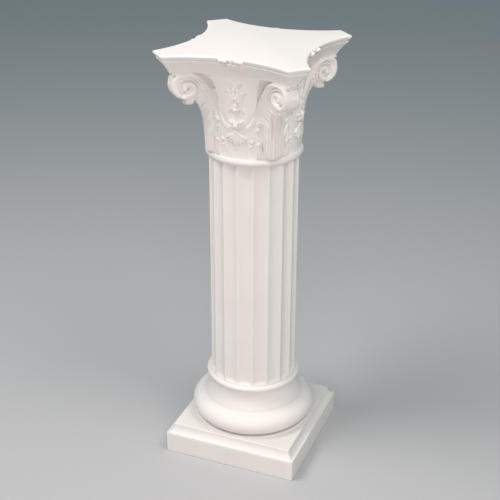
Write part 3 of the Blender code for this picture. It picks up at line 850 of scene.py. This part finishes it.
# Drilled eyes and slots of the leaf: place, radius, depth
leafDrills = [
    ((33.1, 99.4), 1.3, 2.8), ((24.4, 71), 1.2, 2.2), ((24.2, 56), 1.1, 1.8), ((36.5, 88), 0.8, 1.4),
    ((27.3, 29.8), 0.9, 2), ((27.2, 68.6), 1.2, 2.2),
]
leafSlots = [
    # beside the curled sprout
    ([(30.7, 36), (31.1, 28), (31.3, 19)], [1.6, 2.4, 2.2], [3, 5.5, 4.6]),
    # under the second lobe
    ([(24.4, 71.6), (26.4, 70.4), (28.2, 67.2), (29.6, 60.4)], [1.2, 1.6, 1.5, 0.9], [2, 2.6, 2.2, 0.8]),
    # under the third lobe
    ([(24, 57.4), (26.4, 54.8), (29, 49), (30, 43)], [1.2, 1.4, 1.2, 0.8], [1.6, 2.2, 1.6, 0.6]),
    # creases of the petals
    ([(34.6, 63), (35.2, 55), (35.4, 47)], [1, 1.4, 0.9], [1.2, 2.2, 1]),
    ([(29.6, 74.6), (31.4, 71.4), (32.8, 65.6)], [0.9, 1.2, 0.8], [1, 1.8, 0.8]),
    ([(26.8, 102.4), (30.8, 96.8), (34.4, 91.4), (37.6, 85.6), (38, 76)], [1, 1.3, 1.3, 1.1, 0.8],
     [1.4, 1.8, 1.8, 1.4, 0.8]),
    ([(27, 92), (31, 88.6), (34.6, 81), (35.8, 72)], [0.8, 1.1, 1.1, 0.8], [0.8, 1.5, 1.4, 0.8]),
    ([(33, 47), (31.6, 56), (29, 60)], [0.8, 1, 0.8], [0.7, 1.1, 0.6]),
    # slits beside the middle ribs, deepening towards the head
    ([(40.4, -3), (40.4, 40), (40.2, 72), (39.9, 84), (39.6, 95)], [1.3, 1.5, 1.8, 3, 1.8],
     [1.8, 2.2, 2.8, 7, 3]),
    ([(45, -3), (45, 60), (45, 108)], [1.3, 1.4, 1.3], [1.8, 2.2, 2]),
    ([(42.6, 10), (42.6, 60), (42.7, 104)], [0.9, 1.1, 0.9], [0.7, 1.2, 0.8]),
    ([(37.4, -3), (37.5, 30), (37.4, 60), (37.2, 74)], [1.2, 1.4, 1.3, 1], [1.5, 2, 1.8, 0.8]),
    ([(34.2, -3), (34.3, 30), (34.2, 46)], [1.2, 1.3, 1], [1.4, 1.8, 1]),
    ([(28, -3), (27.9, 12), (27.4, 20)], [1, 1, 0.8], [0.9, 1.1, 0.6]),
    ([(24, 3), (24, 12), (23.6, 22)], [0.8, 1, 0.8], [0.5, 0.9, 0.5]),
]

# Small ornament on the face's middle: path, widths, heights, and a vein's depth where there is one
faceStrokes = [
    # crown of leaves on the vase
    ([(0, 142), (0, 146), (0, 149.6)], [4.6, 4.8, 3.2], [3.8, 4.6, 4]),
    ([(0.9, 146), (2.4, 150.4), (3.4, 155)], [3.4, 5.6, 4.6], [3.6, 5.2, 4.8]),
    ([(4.2, 145), (6, 150), (7.2, 155)], [3, 4.4, 3.6], [3.4, 4.6, 4.2]),
    # mouldings of the vase
    ([(-4, 141.5), (4, 141.5)], [2.6, 2.6], [3.8, 3.8]),
    ([(-3.2, 128.6), (3.2, 128.6)], [2.2, 2.2], [3.4, 3.4]),
    ([(0, 129), (0, 143)], [4.4, 4.4], [4.2, 4.2]),
    ([(3.4, 112), (4.6, 120), (4.2, 128)], [2.2, 2.6, 2.4], [3.2, 3.6, 3.4]),
    ([(3.2, 131), (4.6, 135), (3.8, 140)], [2.4, 2.8, 2.4], [3.2, 3.8, 3.2]),
    # side hooks
    ([(6.6, 109), (7.4, 118), (7.6, 128), (8.2, 135), (10, 138.8), (12, 137.6), (12.6, 133.8)],
     [2, 2.4, 2.4, 2.6, 3, 2.8, 2.4], [1.4, 1.6, 1.8, 2.2, 2.6, 2.4, 1.6]),
    # skirt of leaves under the oval
    ([(1.8, 107), (4.8, 104), (7.6, 99), (9.8, 95.2)], [3.8, 5.6, 5.2, 2.4], [4, 4.6, 3.8, 2], 0.6),
    ([(0, 107), (0, 100), (0, 93)], [4.2, 5.2, 3.6], [5.2, 6.6, 5.6]),
    ([(1.4, 105), (2.7, 100), (3, 95.4)], [3.2, 4.2, 3.2], [4.8, 6.2, 5.2]),
    # stem
    ([(0, 93), (0, 84), (0, 75)], [2.6, 2.4, 2.6], [2.2, 2, 2.6]),
    # bow
    ([(1.6, 72), (3.6, 75), (5.8, 77.4), (8, 78)], [4, 6.6, 7.4, 4.6], [5, 7, 7.6, 6]),
    # tails of the bow on the band
    ([(1.2, 68), (4.4, 66.4), (8, 66.6), (10.6, 69.4)], [3.4, 3.8, 3.4, 2], [4.4, 4.4, 4, 2.8]),
]

faceDrills = [
    ((0, 154), 1.4, 3.6), ((4.9, 153.6), 1.1, 3), ((0, 134.8), 1.3, 3), ((5.9, 139), 0.9, 2),
    ((6.2, 124), 0.9, 1.6), ((6, 131), 0.9, 1.8), ((10.5, 135.4), 1, 1.6), ((4.6, 98.6), 1.1, 2.8),
    ((2.2, 125), 0.8, 1.8),
]

# Palmette below the band: lean from straight down in degrees, length, width, height of each leaf
palmette = {
    "root": (0, 57.5),
    "shell": (9, 1.4),        # radius and height of the solid middle
    "leaves": [(0, 27, 4.2, 4.2), (12.5, 28, 4.2, 4.2), (26, 26, 4.4, 4.4), (39, 27.5, 5, 5.2),
               (52, 24.5, 4.8, 5.6)],
    "pendant": (37.5, 6, 1.8),
    "bow": 0.06,
}

# Beads beside the palmette: place, radius, height
beads = [((19.4, 36.8), 4.4, 4.2), ((18, 26.8), 3, 3.6)]


def leafFace(t):
    # from the axis to the leaf's face, which leans out most near its head
    lean = capital["leafLean"]
    reach = capital["leafReach"] * (lean * t + (1 - lean) * t ** 5)
    return capital["neckRadius"] + capital["leafFoot"] + reach


def hollowSide(angle):
    # from the axis to the abacus' hollow side, at its foot
    radius = sideArcRadius + capital["underInset"]
    inside = radius ** 2 - (sideArcCentre * np.sin(angle)) ** 2
    return sideArcCentre * np.cos(angle) - np.sqrt(np.maximum(inside, 0))


def smoothMin(a, b, soft):
    # joins two distances with a soft fillet
    gap = np.clip(0.5 + 0.5 * (b - a) / soft, 0, 1)
    return b + (a - b) * gap - soft * gap * (1 - gap)


def smoothMax(a, b, soft):
    return -smoothMin(-a, -b, soft)


def bellRadius(angle, z):
    # round at the foot; towards the top it flares out to follow the abacus' hollow side
    t = (z - bellBottom) / capital["bellHeight"]
    neck = capital["neckRadius"]
    around = neck + (capital["waistRadius"] - neck) * smoothStep(2 * t)
    lip = np.minimum(capital["flareLimit"], hollowSide(angle))
    share = np.clip((t - capital["flareStart"]) / (1 - capital["flareStart"]), 0, 1)
    return around + (lip - around) * share ** capital["flareCurve"]


def layLeafGround(relief):
    # the bulging middle of the corner leaf, as height above the bell
    angle = relief["across"][:, None] / bellScale
    up = relief["up"][None, :]
    z = bellBottom + up * mm
    leafHeight = (scrollHeight - capital["scrollRadius"] + capital["leafUnder"] - bellBottom) / mm
    t = np.clip(up / leafHeight, 0, 1)
    away = math.pi / 4 - angle
    half = capital["leafHalf"] * (1 - capital["leafTaper"] * t ** 3)
    # where a ray at this angle meets the leaf's bowed face
    a = capital["leafBow"] * (1 + capital["leafFall"] * t ** 4) / half * np.sin(away) ** 2
    b = np.cos(away)
    bowed = (np.sqrt(b * b + 4 * a * leafFace(t)) - b) / np.maximum(2 * a, 1e-9)
    radius = np.where(a > 1e-9, bowed, leafFace(t) / b)
    rise = (radius - bellRadius(angle, z)) / mm
    # the leaf's head ends under the scroll
    fromDiagonal = 112 * np.sin(away)
    head = smoothStep((up - leafHeight + 1) / 8) * smoothStep((17 - fromDiagonal) / 5)
    rise = np.where(rise > 0, rise * (1 - head), rise)
    return rise


def drillAll(relief, drills):
    for spot, radius, depth in drills:
        drillHole(relief, onBell([spot])[0], radius, depth)


def layRelief():
    relief = newRelief((-12.0, -6.0), (92.0, 182.0), 0.25)
    up = relief["up"][None, :]
    leaf = layLeafGround(relief)
    blade = 1.3 * smoothStep(insideOutline(relief, curveThrough(onBell(bladeOutline), 3.0)) / 1.2 + 0.5)
    relief["ground"] = smoothMax(leaf, blade, capital["leafSoft"])
    relief["height"] = relief["ground"].copy()
    print("  leaf ground laid")
    # the hollow has a V section and deepens towards the abacus
    inside = insideOutline(relief, np.vstack([onBell(fieldEdge), onBell(channelFar)]))
    share = np.clip((up - bandHollow["deepensFrom"]) / bandHollow["deepensOver"], 0, 1)
    deepest = bandHollow["footDepth"] * smoothStep((up - bandHollow["foot"]) / 8)
    deepest = deepest + bandHollow["depth"] * share ** bandHollow["curve"]
    flank = np.maximum(inside, 0) * (bandHollow["flank"] + np.clip((up - 85) / 50.0, 0, 1))
    relief["height"] -= deepest * (1 - np.exp(-flank / np.maximum(deepest, 0.1)))
    # thin raised lip along the field's edge
    lip = onBell(fieldEdge)[4:]
    lip[:, 0] -= 1.5
    raiseRidge(relief, lip, 2.6, [0.1, 0.6, 0.9, 0.9])
    raiseRidge(relief, onBell(bandFlat), bandFlatWidth, bandFlatRise, 0.5)
    raiseRidge(relief, onBell(bandCrest), bandCrestWidth, bandCrestRise, 0.6)
    for path, widths, heights in leafLobes:
        raiseRidge(relief, onBell(path), widths, heights)
    # raised plate of the vase, with a cut line round it
    raiseRidge(relief, onBell([(0, 114), (0, 151)]), 23.0, 1.5, 0.12)
    cutGroove(relief, onBell([(9.2, 108), (9.0, 122), (9.2, 134)]), 1.3, [0.5, 0.9, 0.6])
    for path, widths, heights, *vein in faceStrokes:
        raiseRidge(relief, onBell(path), widths, heights, 0.5, *vein)
    layPalmette(relief)
    layCartouche(relief)
    # knot of the bow
    raiseRidge(relief, onBell([(-1.8, 69.0), (0, 70.0), (1.8, 69.0)]), 7.0, 8.0)
    for spot, radius, height in beads:
        raiseBead(relief, onBell([spot])[0], radius, height)
    drillAll(relief, leafDrills)
    for path, widths, depths in leafSlots:
        cutGroove(relief, onBell(path), widths, depths)
    drillAll(relief, faceDrills)
    relief["height"] = blurMap(relief["height"], 1.5)
    print("  bell relief carved")
    return relief


def layPalmette(relief):
    x0, y0 = palmette["root"]
    length, width, height = palmette["pendant"]
    raiseRidge(relief, [(x0, y0 - 10), (x0, y0 - length * 0.7), (x0, y0 - length)], [width, width, 1.5],
               [height, height, height * 0.7])
    shell, rise = palmette["shell"]
    raiseRidge(relief, [(x0, y0 - 5.5), (x0, y0 - 12.0)], [shell * 1.2, shell * 1.5], rise, 0.4)
    for lean, length, width, height in reversed(palmette["leaves"]):
        points = []
        for t in (0.12, 0.4, 0.7, 1.0):
            turn = math.radians(lean * (1 + palmette["bow"] * t))
            points.append((x0 + length * t * math.sin(turn), y0 - length * t * math.cos(turn)))
        widths = [1.6, 2.8, width, width * 0.8]
        heights = [3.4, 3.4, height * 0.9, height]
        raiseRidge(relief, points, widths, heights, 0.5, 0.5)
    # root of the leaves
    raiseRidge(relief, [(x0, y0 - 1)], 6.4, 5.0)


def layCartouche(relief):
    # oval ring with a sunk middle, a knob below and one above
    ring = [(2.9 * math.cos(t), 118.0 + 7.6 * math.sin(t)) for t in np.linspace(-quarter, quarter, 9)]
    raiseRidge(relief, onBell([(0, 113.0), (0, 123.0)]), 9.0, 2.4)
    raiseRidge(relief, onBell(ring), 3.4, 6.4)
    raiseRidge(relief, onBell([(0, 109.6)]), 5.0, 6.6)
    raiseRidge(relief, onBell([(0, 127.4)]), 4.0, 5.0)
    # bud in the middle of the skirt
    raiseRidge(relief, onBell([(0, 101.6)]), 7.0, 8.2)
    cutGroove(relief, onBell([(0, 115.6), (0, 120.0)]), 3.8, 3.4)


# Flat side of a scroll, in millimetres: out along the diagonal, and height
scroll = {
    "eye": (146.6, 842.0),
    "discEdge": 26.2,
    "discOut": 153.2,
    "recessBelow": -3.6,
    "webFall": 0.9,
    "recessAbove": -12.0,
    "flank": 1.1,
    "channel": -2.6,
    "pocketStart": 7.5,         # height at the crest's flank, and how much of it is lost outwards
    "pocketFall": 5.5,
    "coilRadius": 17.0,
    "coilSunk": 1.2,
    "spoolGroove": 1.5,
}

# Crest of the band on the scroll's side: from the bell, over the top and round the coil
sideCrest = [(87, 790), (91.2, 800.2), (95.1, 810.2), (99.3, 820.2), (104.3, 830.2), (110.5, 840.2),
             (116.5, 850.2), (124.5, 860), (134, 867.4), (145, 870.8), (156, 870.4), (166.6, 866),
             (172.8, 857.6), (173.6, 847), (170.6, 837.2), (163.4, 830), (154, 826.6)]
sideCrestWidth = [4.4, 4.4, 4.6, 4.8, 5.2, 5.8, 6.4, 7, 7.4, 7.6, 8.4, 10.6, 13.6, 15, 13.6, 11, 9]
sideCrestRise = [4.2, 4.4, 4.6, 5, 5.6, 6.4, 7.6, 8.8, 9.2, 8, 6.4, 5.4, 5, 4.8, 4.8, 4.6, 4.4]
# Second ridge, which hugs the coil and fades into the rim
sideInner = [(118, 836), (124.2, 845.8), (130.6, 854), (138, 860.4), (147, 863), (156, 861.6)]
# Lower edge of the band, from the bell to the coil
sideOuter = [(86.6, 780.2), (90, 790.2), (93.8, 800.2), (98.5, 810.2), (103.5, 820.2), (108.6, 830.2),
             (114.6, 838.2), (121, 842), (128, 841)]
# Ridge of the coil, as angle and reach from the eye; it runs in from the rim to a ball beside the eye
coilRidge = [(-58, 15.6), (-75, 13.8), (-95, 12.8), (-135, 12.2), (-180, 12), (-225, 11.8), (-270, 11.2),
             (-315, 9.6), (-350, 7.4)]
# Groove that winds round the coil and ends in the eye
coilGroove = [(-128, 18.2), (-155, 17.8), (-180, 17.3), (-225, 17), (-270, 16.7), (-315, 17.2), (-360, 17.8),
              (-380, 17), (-404, 13.6), (-420, 8.6), (-436, 4.6)]
# Outline of the plate between the two sides: back to the bell under the band, and open towards the abacus
plateOutline = [(66, 776), (88, 778), (99, 792), (110, 804), (121, 814), (131, 821), (150, 826), (168, 836),
                (178.6, 852), (176.6, 882), (66, 882)]


def aboutEye(points):
    turn = np.radians([angle for angle, _ in points])
    reach = np.array([far for _, far in points])
    return np.stack([scroll["eye"][0] + reach * np.cos(turn), scroll["eye"][1] + reach * np.sin(turn)], 1)


def laySide():
    # relief of a scroll's flat side, measured from the splayed plane
    relief = newRelief((74.0, 770.0), (192.0, 890.0), 0.25)
    x = relief["across"][:, None]
    y = relief["up"][None, :]
    crest = curveThrough(sideCrest, 2.0)
    lower = curveThrough(sideOuter, 2.0)
    groove = curveThrough(aboutEye(coilGroove[:3]), 1.0)[::-1]
    outline = np.vstack([crest, aboutEye([(-95, 17.4)]), groove, lower[::-1]])
    raised = insideOutline(relief, outline)
    # pocket between the band and the abacus
    over = curveThrough(sideCrest[:11], 2.0)
    beyond = [(200.0, 872.0), (200.0, 900.0), (60.0, 900.0), (60.0, 790.0)]
    pocket = insideOutline(relief, np.vstack([over, beyond]))
    # web under the band, falling away towards the leaf
    under = np.maximum(-raised, 0)
    web = scroll["recessBelow"] - scroll["webFall"] * under
    # the crest's flank slopes down into the pocket
    start = scroll["pocketStart"] - scroll["pocketFall"] * smoothStep((x - 138) / 18)
    slope = np.maximum(start - scroll["flank"] * pocket, scroll["recessAbove"])
    level = np.where(pocket > 0, slope, web)
    height = level + (scroll["channel"] - level) * smoothStep(raised / 1.8 + 0.5)
    height = np.where(pocket > 0, slope, height)
    relief["height"] = height
    relief["ground"] = np.full(height.shape, scroll["channel"])
    raiseRidge(relief, sideInner, [3.0, 4.6, 5.6, 6.0, 5.4, 4.0], [0.8, 1.8, 2.8, 3.2, 2.8, 1.2], 0.6)
    raiseRidge(relief, sideCrest, sideCrestWidth, sideCrestRise, 0.55)
    eye = scroll["eye"]
    distance = np.hypot(x - eye[0], y - eye[1])
    sunk = distance < scroll["coilRadius"]
    floor = scroll["channel"] - scroll["coilSunk"]
    relief["height"] = np.where(sunk, np.minimum(relief["height"], floor), relief["height"])
    relief["ground"] = np.where(sunk, floor, relief["ground"])
    raiseRidge(relief, aboutEye(coilRidge), [8.6, 9.4, 9.6, 9.6, 9.8, 10.0, 10.4, 10.8, 11.0],
               [4.2, 4.8, 5.2, 5.4, 5.6, 5.6, 5.6, 5.6, 5.6], 0.45)
    raiseRidge(relief, aboutEye([(4, 6.6)]), 12.6, 6.8, 0.5)
    cutGroove(relief, aboutEye(coilGroove), [2.0, 2.8, 3.0, 2.8, 2.6, 2.6, 2.2],
              [1.8, 3.4, 3.8, 3.4, 3.0, 2.6, 1.8], 0.8)
    drillHole(relief, (eye[0], eye[1]), 2.6, 8.0)
    relief["height"] = blurMap(relief["height"], 1.3)
    plate = insideOutline(relief, np.array(plateOutline))
    disc = scroll["discEdge"] - np.hypot(x - scroll["discOut"], y - scrollHeight / mm)
    relief["plate"] = np.maximum(plate, disc)
    return relief


def steepness(relief, lean=0.0):
    # how much longer a carved slope is than its flat place; lean is a slope that the whole side has
    steepest = 9.0
    slopeAcross, slopeUp = np.gradient(relief["height"], relief["step"])
    return np.sqrt(1 + np.minimum((slopeAcross - lean) ** 2 + slopeUp ** 2, steepest))


def bellField(relief, angle, radius, levels):
    # distance to the carved bell, the astragal below it and its flat ends, in millimetres
    angle = angle[:, None]
    radius = radius[:, None]
    levels = levels[None, :]
    up = (levels - bellBottom) / mm
    height = readMap(relief, relief["height"], angle * bellScale, up)
    steep = readMap(relief, steepness(relief), angle * bellScale, up)
    # the carving's foot rounds in to the ring
    fade = smoothStep(up / 2.5 + 0.3)
    wall = bellRadius(angle, np.clip(levels, bellBottom, underside))
    field = (radius - wall) / mm - height * fade
    field = field / (1 + (steep - 1) * fade)
    half = capital["astragalHeight"] / 2
    ring = np.hypot(radius - (capital["astragalRadius"] - half), levels - capital["bottom"] - half) - half
    neck = np.maximum(radius - capital["neckRadius"], levels - bellBottom - capital["neckRise"])
    low = np.minimum(ring, neck) / mm
    return np.where(levels < bellBottom - capital["carvedFrom"], low, np.minimum(field, low))


def scrollField(relief, out, across, levels):
    # distance to the block between a corner's two scroll sides
    outMm = out[:, None] / mm
    upMm = levels[None, :] / mm
    splay = math.tan(math.radians(capital["splay"]))
    height = readMap(relief, relief["height"], outMm, upMm)
    steep = readMap(relief, steepness(relief, splay), outMm, upMm)
    half = capital["rimThickness"] / 2 + (scrollReach - out) * splay
    side = ((across - half)[:, None] / mm - height) / steep
    outline = -readMap(relief, relief["plate"], outMm, upMm)
    # the spool between the two sides has a groove beside each rim
    fromRim = ((half - across) / mm)[:, None]
    groove = scroll["spoolGroove"] * np.exp(-((fromRim - 3.2) / 1.2) ** 2)
    outline = outline + groove + 0.4 * smoothStep((fromRim - 4) / 2)
    return smoothMax(side, outline, capital["spoolSoft"])


def tipField(out, across, levels):
    # the leaf's rolled tip under the scroll, with lobes across it
    size = capital["tipRadius"]
    low = scrollHeight - capital["scrollRadius"] - capital["tipDrop"]
    share = across / (capital["tipWidth"] / 2)
    lobes = capital["tipLobes"] * np.cos(share * math.pi * 2.5)
    size = size * np.sqrt(np.clip(1 - 0.8 * share ** 2, 0.02, 1)) + lobes
    high = np.clip(levels[None, :], low, low + capital["tipTall"])
    lean = capital["tipLean"] * (high - low)
    aside = np.abs(out[:, None] - capital["tipOut"] + lean) - capital["tipLength"] / 2
    tube = np.hypot(np.maximum(aside, 0), levels[None, :] - high) - size[:, None]
    cap = (np.abs(across) - capital["tipWidth"] / 2 - 0.001)[:, None]
    return np.maximum(tube, cap) / mm


def capitalField(relief, side):
    # only an eighth of the capital is worked out; the rest is its mirror image
    voxel = capital["voxel"]
    reach = math.ceil(capital["fieldReach"] / voxel)
    levels = np.arange(*capital["fieldHeights"], voxel)
    grid = np.arange(reach + 1) * voxel
    x, forward = np.meshgrid(grid, grid, indexing="ij")
    used = x <= forward + voxel / 2
    flatX = x[used]
    flatY = forward[used]
    angle = np.arctan2(flatX, np.maximum(flatY, 1e-9))
    radius = np.hypot(flatX, flatY)
    out = (flatX + flatY) / math.sqrt(2)
    across = np.abs(flatY - flatX) / math.sqrt(2)
    field = bellField(relief, angle, radius, levels)
    # only this part is reached by a scroll or a leaf's tip
    corner = (out > 0.07) & (out < 0.19) & (across < 0.05)
    farAway = 50.0
    block = np.full(field.shape, farAway)
    block[corner] = scrollField(side, out[corner], across[corner], levels)
    tip = np.full(field.shape, farAway)
    tip[corner] = tipField(out[corner], across[corner], levels)
    field = smoothMin(field, smoothMin(block, tip, capital["tipSoft"]), capital["scrollSoft"])
    # flat underside, and a flat head inside the abacus
    above = (levels - underside)[None, :]
    field = np.maximum(field, (capital["bottom"] - levels)[None, :] / mm)
    field = np.maximum(field, (above - capital["headAbove"]) / mm)
    # past the cove's foot the head stays inside the abacus, and the scrolls slope in to the cove
    inAbacus = np.maximum(field, (radius - hollowSide(angle) + 0.0006)[:, None] / mm)
    sloped = field + capital["headSlope"] * above / mm
    field = np.where(above > 0, np.minimum(inAbacus, sloped), field)
    quadrant = np.empty((reach + 1, reach + 1, len(levels)), np.float32)
    quadrant[used] = field
    mirror = np.transpose(quadrant, (1, 0, 2))
    quadrant = np.where(used[:, :, None], quadrant, mirror)
    index = np.abs(np.arange(-reach, reach + 1))
    whole = quadrant[index][:, index]
    return np.ascontiguousarray(whole), levels[0], reach


def meshField(whole, lowest, reach):
    voxel = capital["voxel"]
    band = 3.0      # cells that the grid keeps each side of the surface
    grid = openvdb.FloatGrid(band)
    # the mirrored field's rows run from -X to +X and from -Y to +Y
    grid.copyFromArray(np.clip(whole * mm / voxel, -band, band).astype(np.float32), tolerance=0.0)
    points, triangles, quads = grid.convertToPolygons(0.0, 0.0)
    points = points * voxel + np.array((-reach * voxel, -reach * voxel, lowest))
    # reversed like this they point inwards, and on the capital the painted shade of the hollows and the wear
    # of the edges trade places with them
    faces = quads[:, ::-1].tolist() + triangles[:, ::-1].tolist()
    return points, faces


# Mouldings of the abacus, in metres
abacus = {
    "lipHeight": 0.0092,
    "filletHeight": 0.0060,
    "coveHeight": 0.0280,
    "lipStep": 0.0062,
    "coveInset": 0.0170,
    "coveCurve": 1.3,
    "edgeRound": 0.0040,
    "lipFoot": 0.0031,         # the lip's face leans in towards its foot
    "lipLean": 0.0029,
    "coveSteps": 22,
    "sideSteps": 22,
    "cutSteps": 10,
    "fineHalf": 27,            # millimetres each side of the middle where the fleuron's mesh is fine
}

# Thin fillet over the cove and the groove above it: distance out of the lip's step, and above the cove's top
filletProfile = [(0.0006, 0.0004), (0.0012, 0.0014), (0.0012, 0.0026), (0.0007, 0.0034), (0.0001, 0.0039),
                 (0.0004, 0.0048), (0.0014, 0.0056)]

# Fleuron on the middle of each side, in millimetres from the middle and above the bell's top
fleuronStrokes = [
    # two bright lugs at the top
    ([(11, 35.4), (16.6, 36.6), (22.4, 35)], [8, 10.5, 7], [6, 7.4, 5.4]),
    ([(0, 36), (0, 40.5)], [13, 11], [4.4, 3.6]),
    ([(0, 33), (0, 24), (0, 16)], [7, 8.5, 5], [5, 5.8, 4.2], 0.8),
    ([(4, 32), (7.6, 26), (9.4, 19), (7, 15)], [5, 7, 6, 4], [4.2, 5.4, 5, 3.6], 0.7),
    ([(9, 31), (14.6, 28), (17.6, 22.6), (15.4, 18.6), (12.6, 20.4)], [4.6, 6, 5.6, 4.4, 3.4],
     [4, 5, 4.8, 4, 3.2], 0.6),
    ([(17, 30.6), (21.4, 28), (23.4, 24)], [4, 4.6, 3], [3.6, 4.2, 3]),
]
fleuronDrills = [((11.6, 31.4), 1.5, 3.6), ((15, 24.2), 1.2, 2.8), ((4.2, 19.6), 1.1, 2.6),
                 ((6.2, 34), 1.5, 3)]


def fleuronRelief():
    relief = newRelief((-34.0, -2.0), (34.0, 46.0), 0.5)
    for path, widths, heights, *vein in fleuronStrokes:
        for sign in (-1, 1):
            mirrored = [(sign * x, y) for x, y in path]
            raiseRidge(relief, mirrored, widths, heights, 0.5, *vein)
    for (x, y), radius, depth in fleuronDrills:
        drillHole(relief, (x, y), radius, depth)
        drillHole(relief, (-x, y), radius, depth)
    relief["height"] = blurMap(relief["height"], 0.9)
    return relief


def abacusProfile():
    # inset and height of the mouldings, from the underside up
    coveHeight = abacus["coveHeight"] - capital["coveLift"]
    coveTop = underside + coveHeight
    lipBottom = coveTop + abacus["filletHeight"]
    top = lipBottom + abacus["lipHeight"]
    step = abacus["lipStep"]
    points = [(step + abacus["coveInset"], underside)]
    for share in np.linspace(0.04, 1.0, abacus["coveSteps"]):
        inset = step + abacus["coveInset"] * (1 - share ** abacus["coveCurve"])
        points.append((inset, underside + coveHeight * share))
    points += [(step - proud, coveTop + rise) for proud, rise in filletProfile]
    rounding = abacus["edgeRound"]
    for share in np.linspace(0, 1, 7):
        inset = abacus["lipFoot"] - abacus["lipLean"] * share ** 0.8
        points.append((inset, lipBottom + (abacus["lipHeight"] - rounding) * share))
    for angle in np.linspace(0.1, quarter, 7):
        points.append((rounding * (1 - math.cos(angle)), top - rounding + rounding * math.sin(angle)))
    return points


def abacusRing(inset, z, relief):
    radius = sideArcRadius + inset
    cut = (capital["halfWidth"] + sideHalf) / math.sqrt(2) - inset
    reach = (cut * math.sqrt(2) - sideArcCentre) / (radius * math.sqrt(2))
    end = math.asin(min(max(reach, -1.0), 1.0)) + quarter / 2
    fine = abacus["fineHalf"] * mm / radius
    outer = np.linspace(fine, end, abacus["sideSteps"])[1:]
    turn = np.concatenate([-outer[::-1], np.linspace(-fine, fine, 2 * abacus["fineHalf"] + 1), outer])
    proud = readMap(relief, relief["height"], radius * turn / mm, (z - abacusBottom) / mm) * mm
    inner = radius - proud
    x = inner * np.sin(turn)
    y = inner * np.cos(turn) - sideArcCentre
    points = []
    for k in range(4):
        c, s = math.cos(k * quarter), math.sin(k * quarter)
        points.append(np.stack([c * x - s * y, s * x + c * y, np.full(len(x), z)], 1))
        # straight cut across the corner, to where the next side starts
        c, s = math.cos((k + 1) * quarter), math.sin((k + 1) * quarter)
        a = points[-1][-1]
        b = np.array((c * x[0] - s * y[0], s * x[0] + c * y[0], z))
        points.append(np.array([a + (b - a) * t for t in np.linspace(0, 1, abacus["cutSteps"])[1:-1]]))
    return np.concatenate(points)


def makeCapital():
    relief = layRelief()
    side = laySide()
    whole, lowest, reach = capitalField(relief, side)
    print("  distance field", whole.shape)
    points, faces = meshField(whole, lowest, reach)
    print("  field meshed:", len(faces), "faces")
    material = plaster("capitalPlaster", capital["finish"])
    piece = meshPiece("columnCapital", points, faces, material)
    thin = piece.modifiers.new("thin", "DECIMATE")
    thin.ratio = capital["triangles"] / (2 * len(faces))
    applyModifiers(piece)
    print("  thinned to", len(piece.data.polygons), "triangles")
    fleuron = fleuronRelief()
    slab = loftPiece("abacusSlab", [abacusRing(inset, z, fleuron) for inset, z in abacusProfile()], material)
    joinSolids(piece, slab)
    finishPiece(piece, capital)
    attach(piece, "root")
    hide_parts("capital")
    piece.data.calc_loop_triangles()
    print("capital made:", len(piece.data.loop_triangles), "triangles")


makeBase()
makeShaft()
makeCapital()
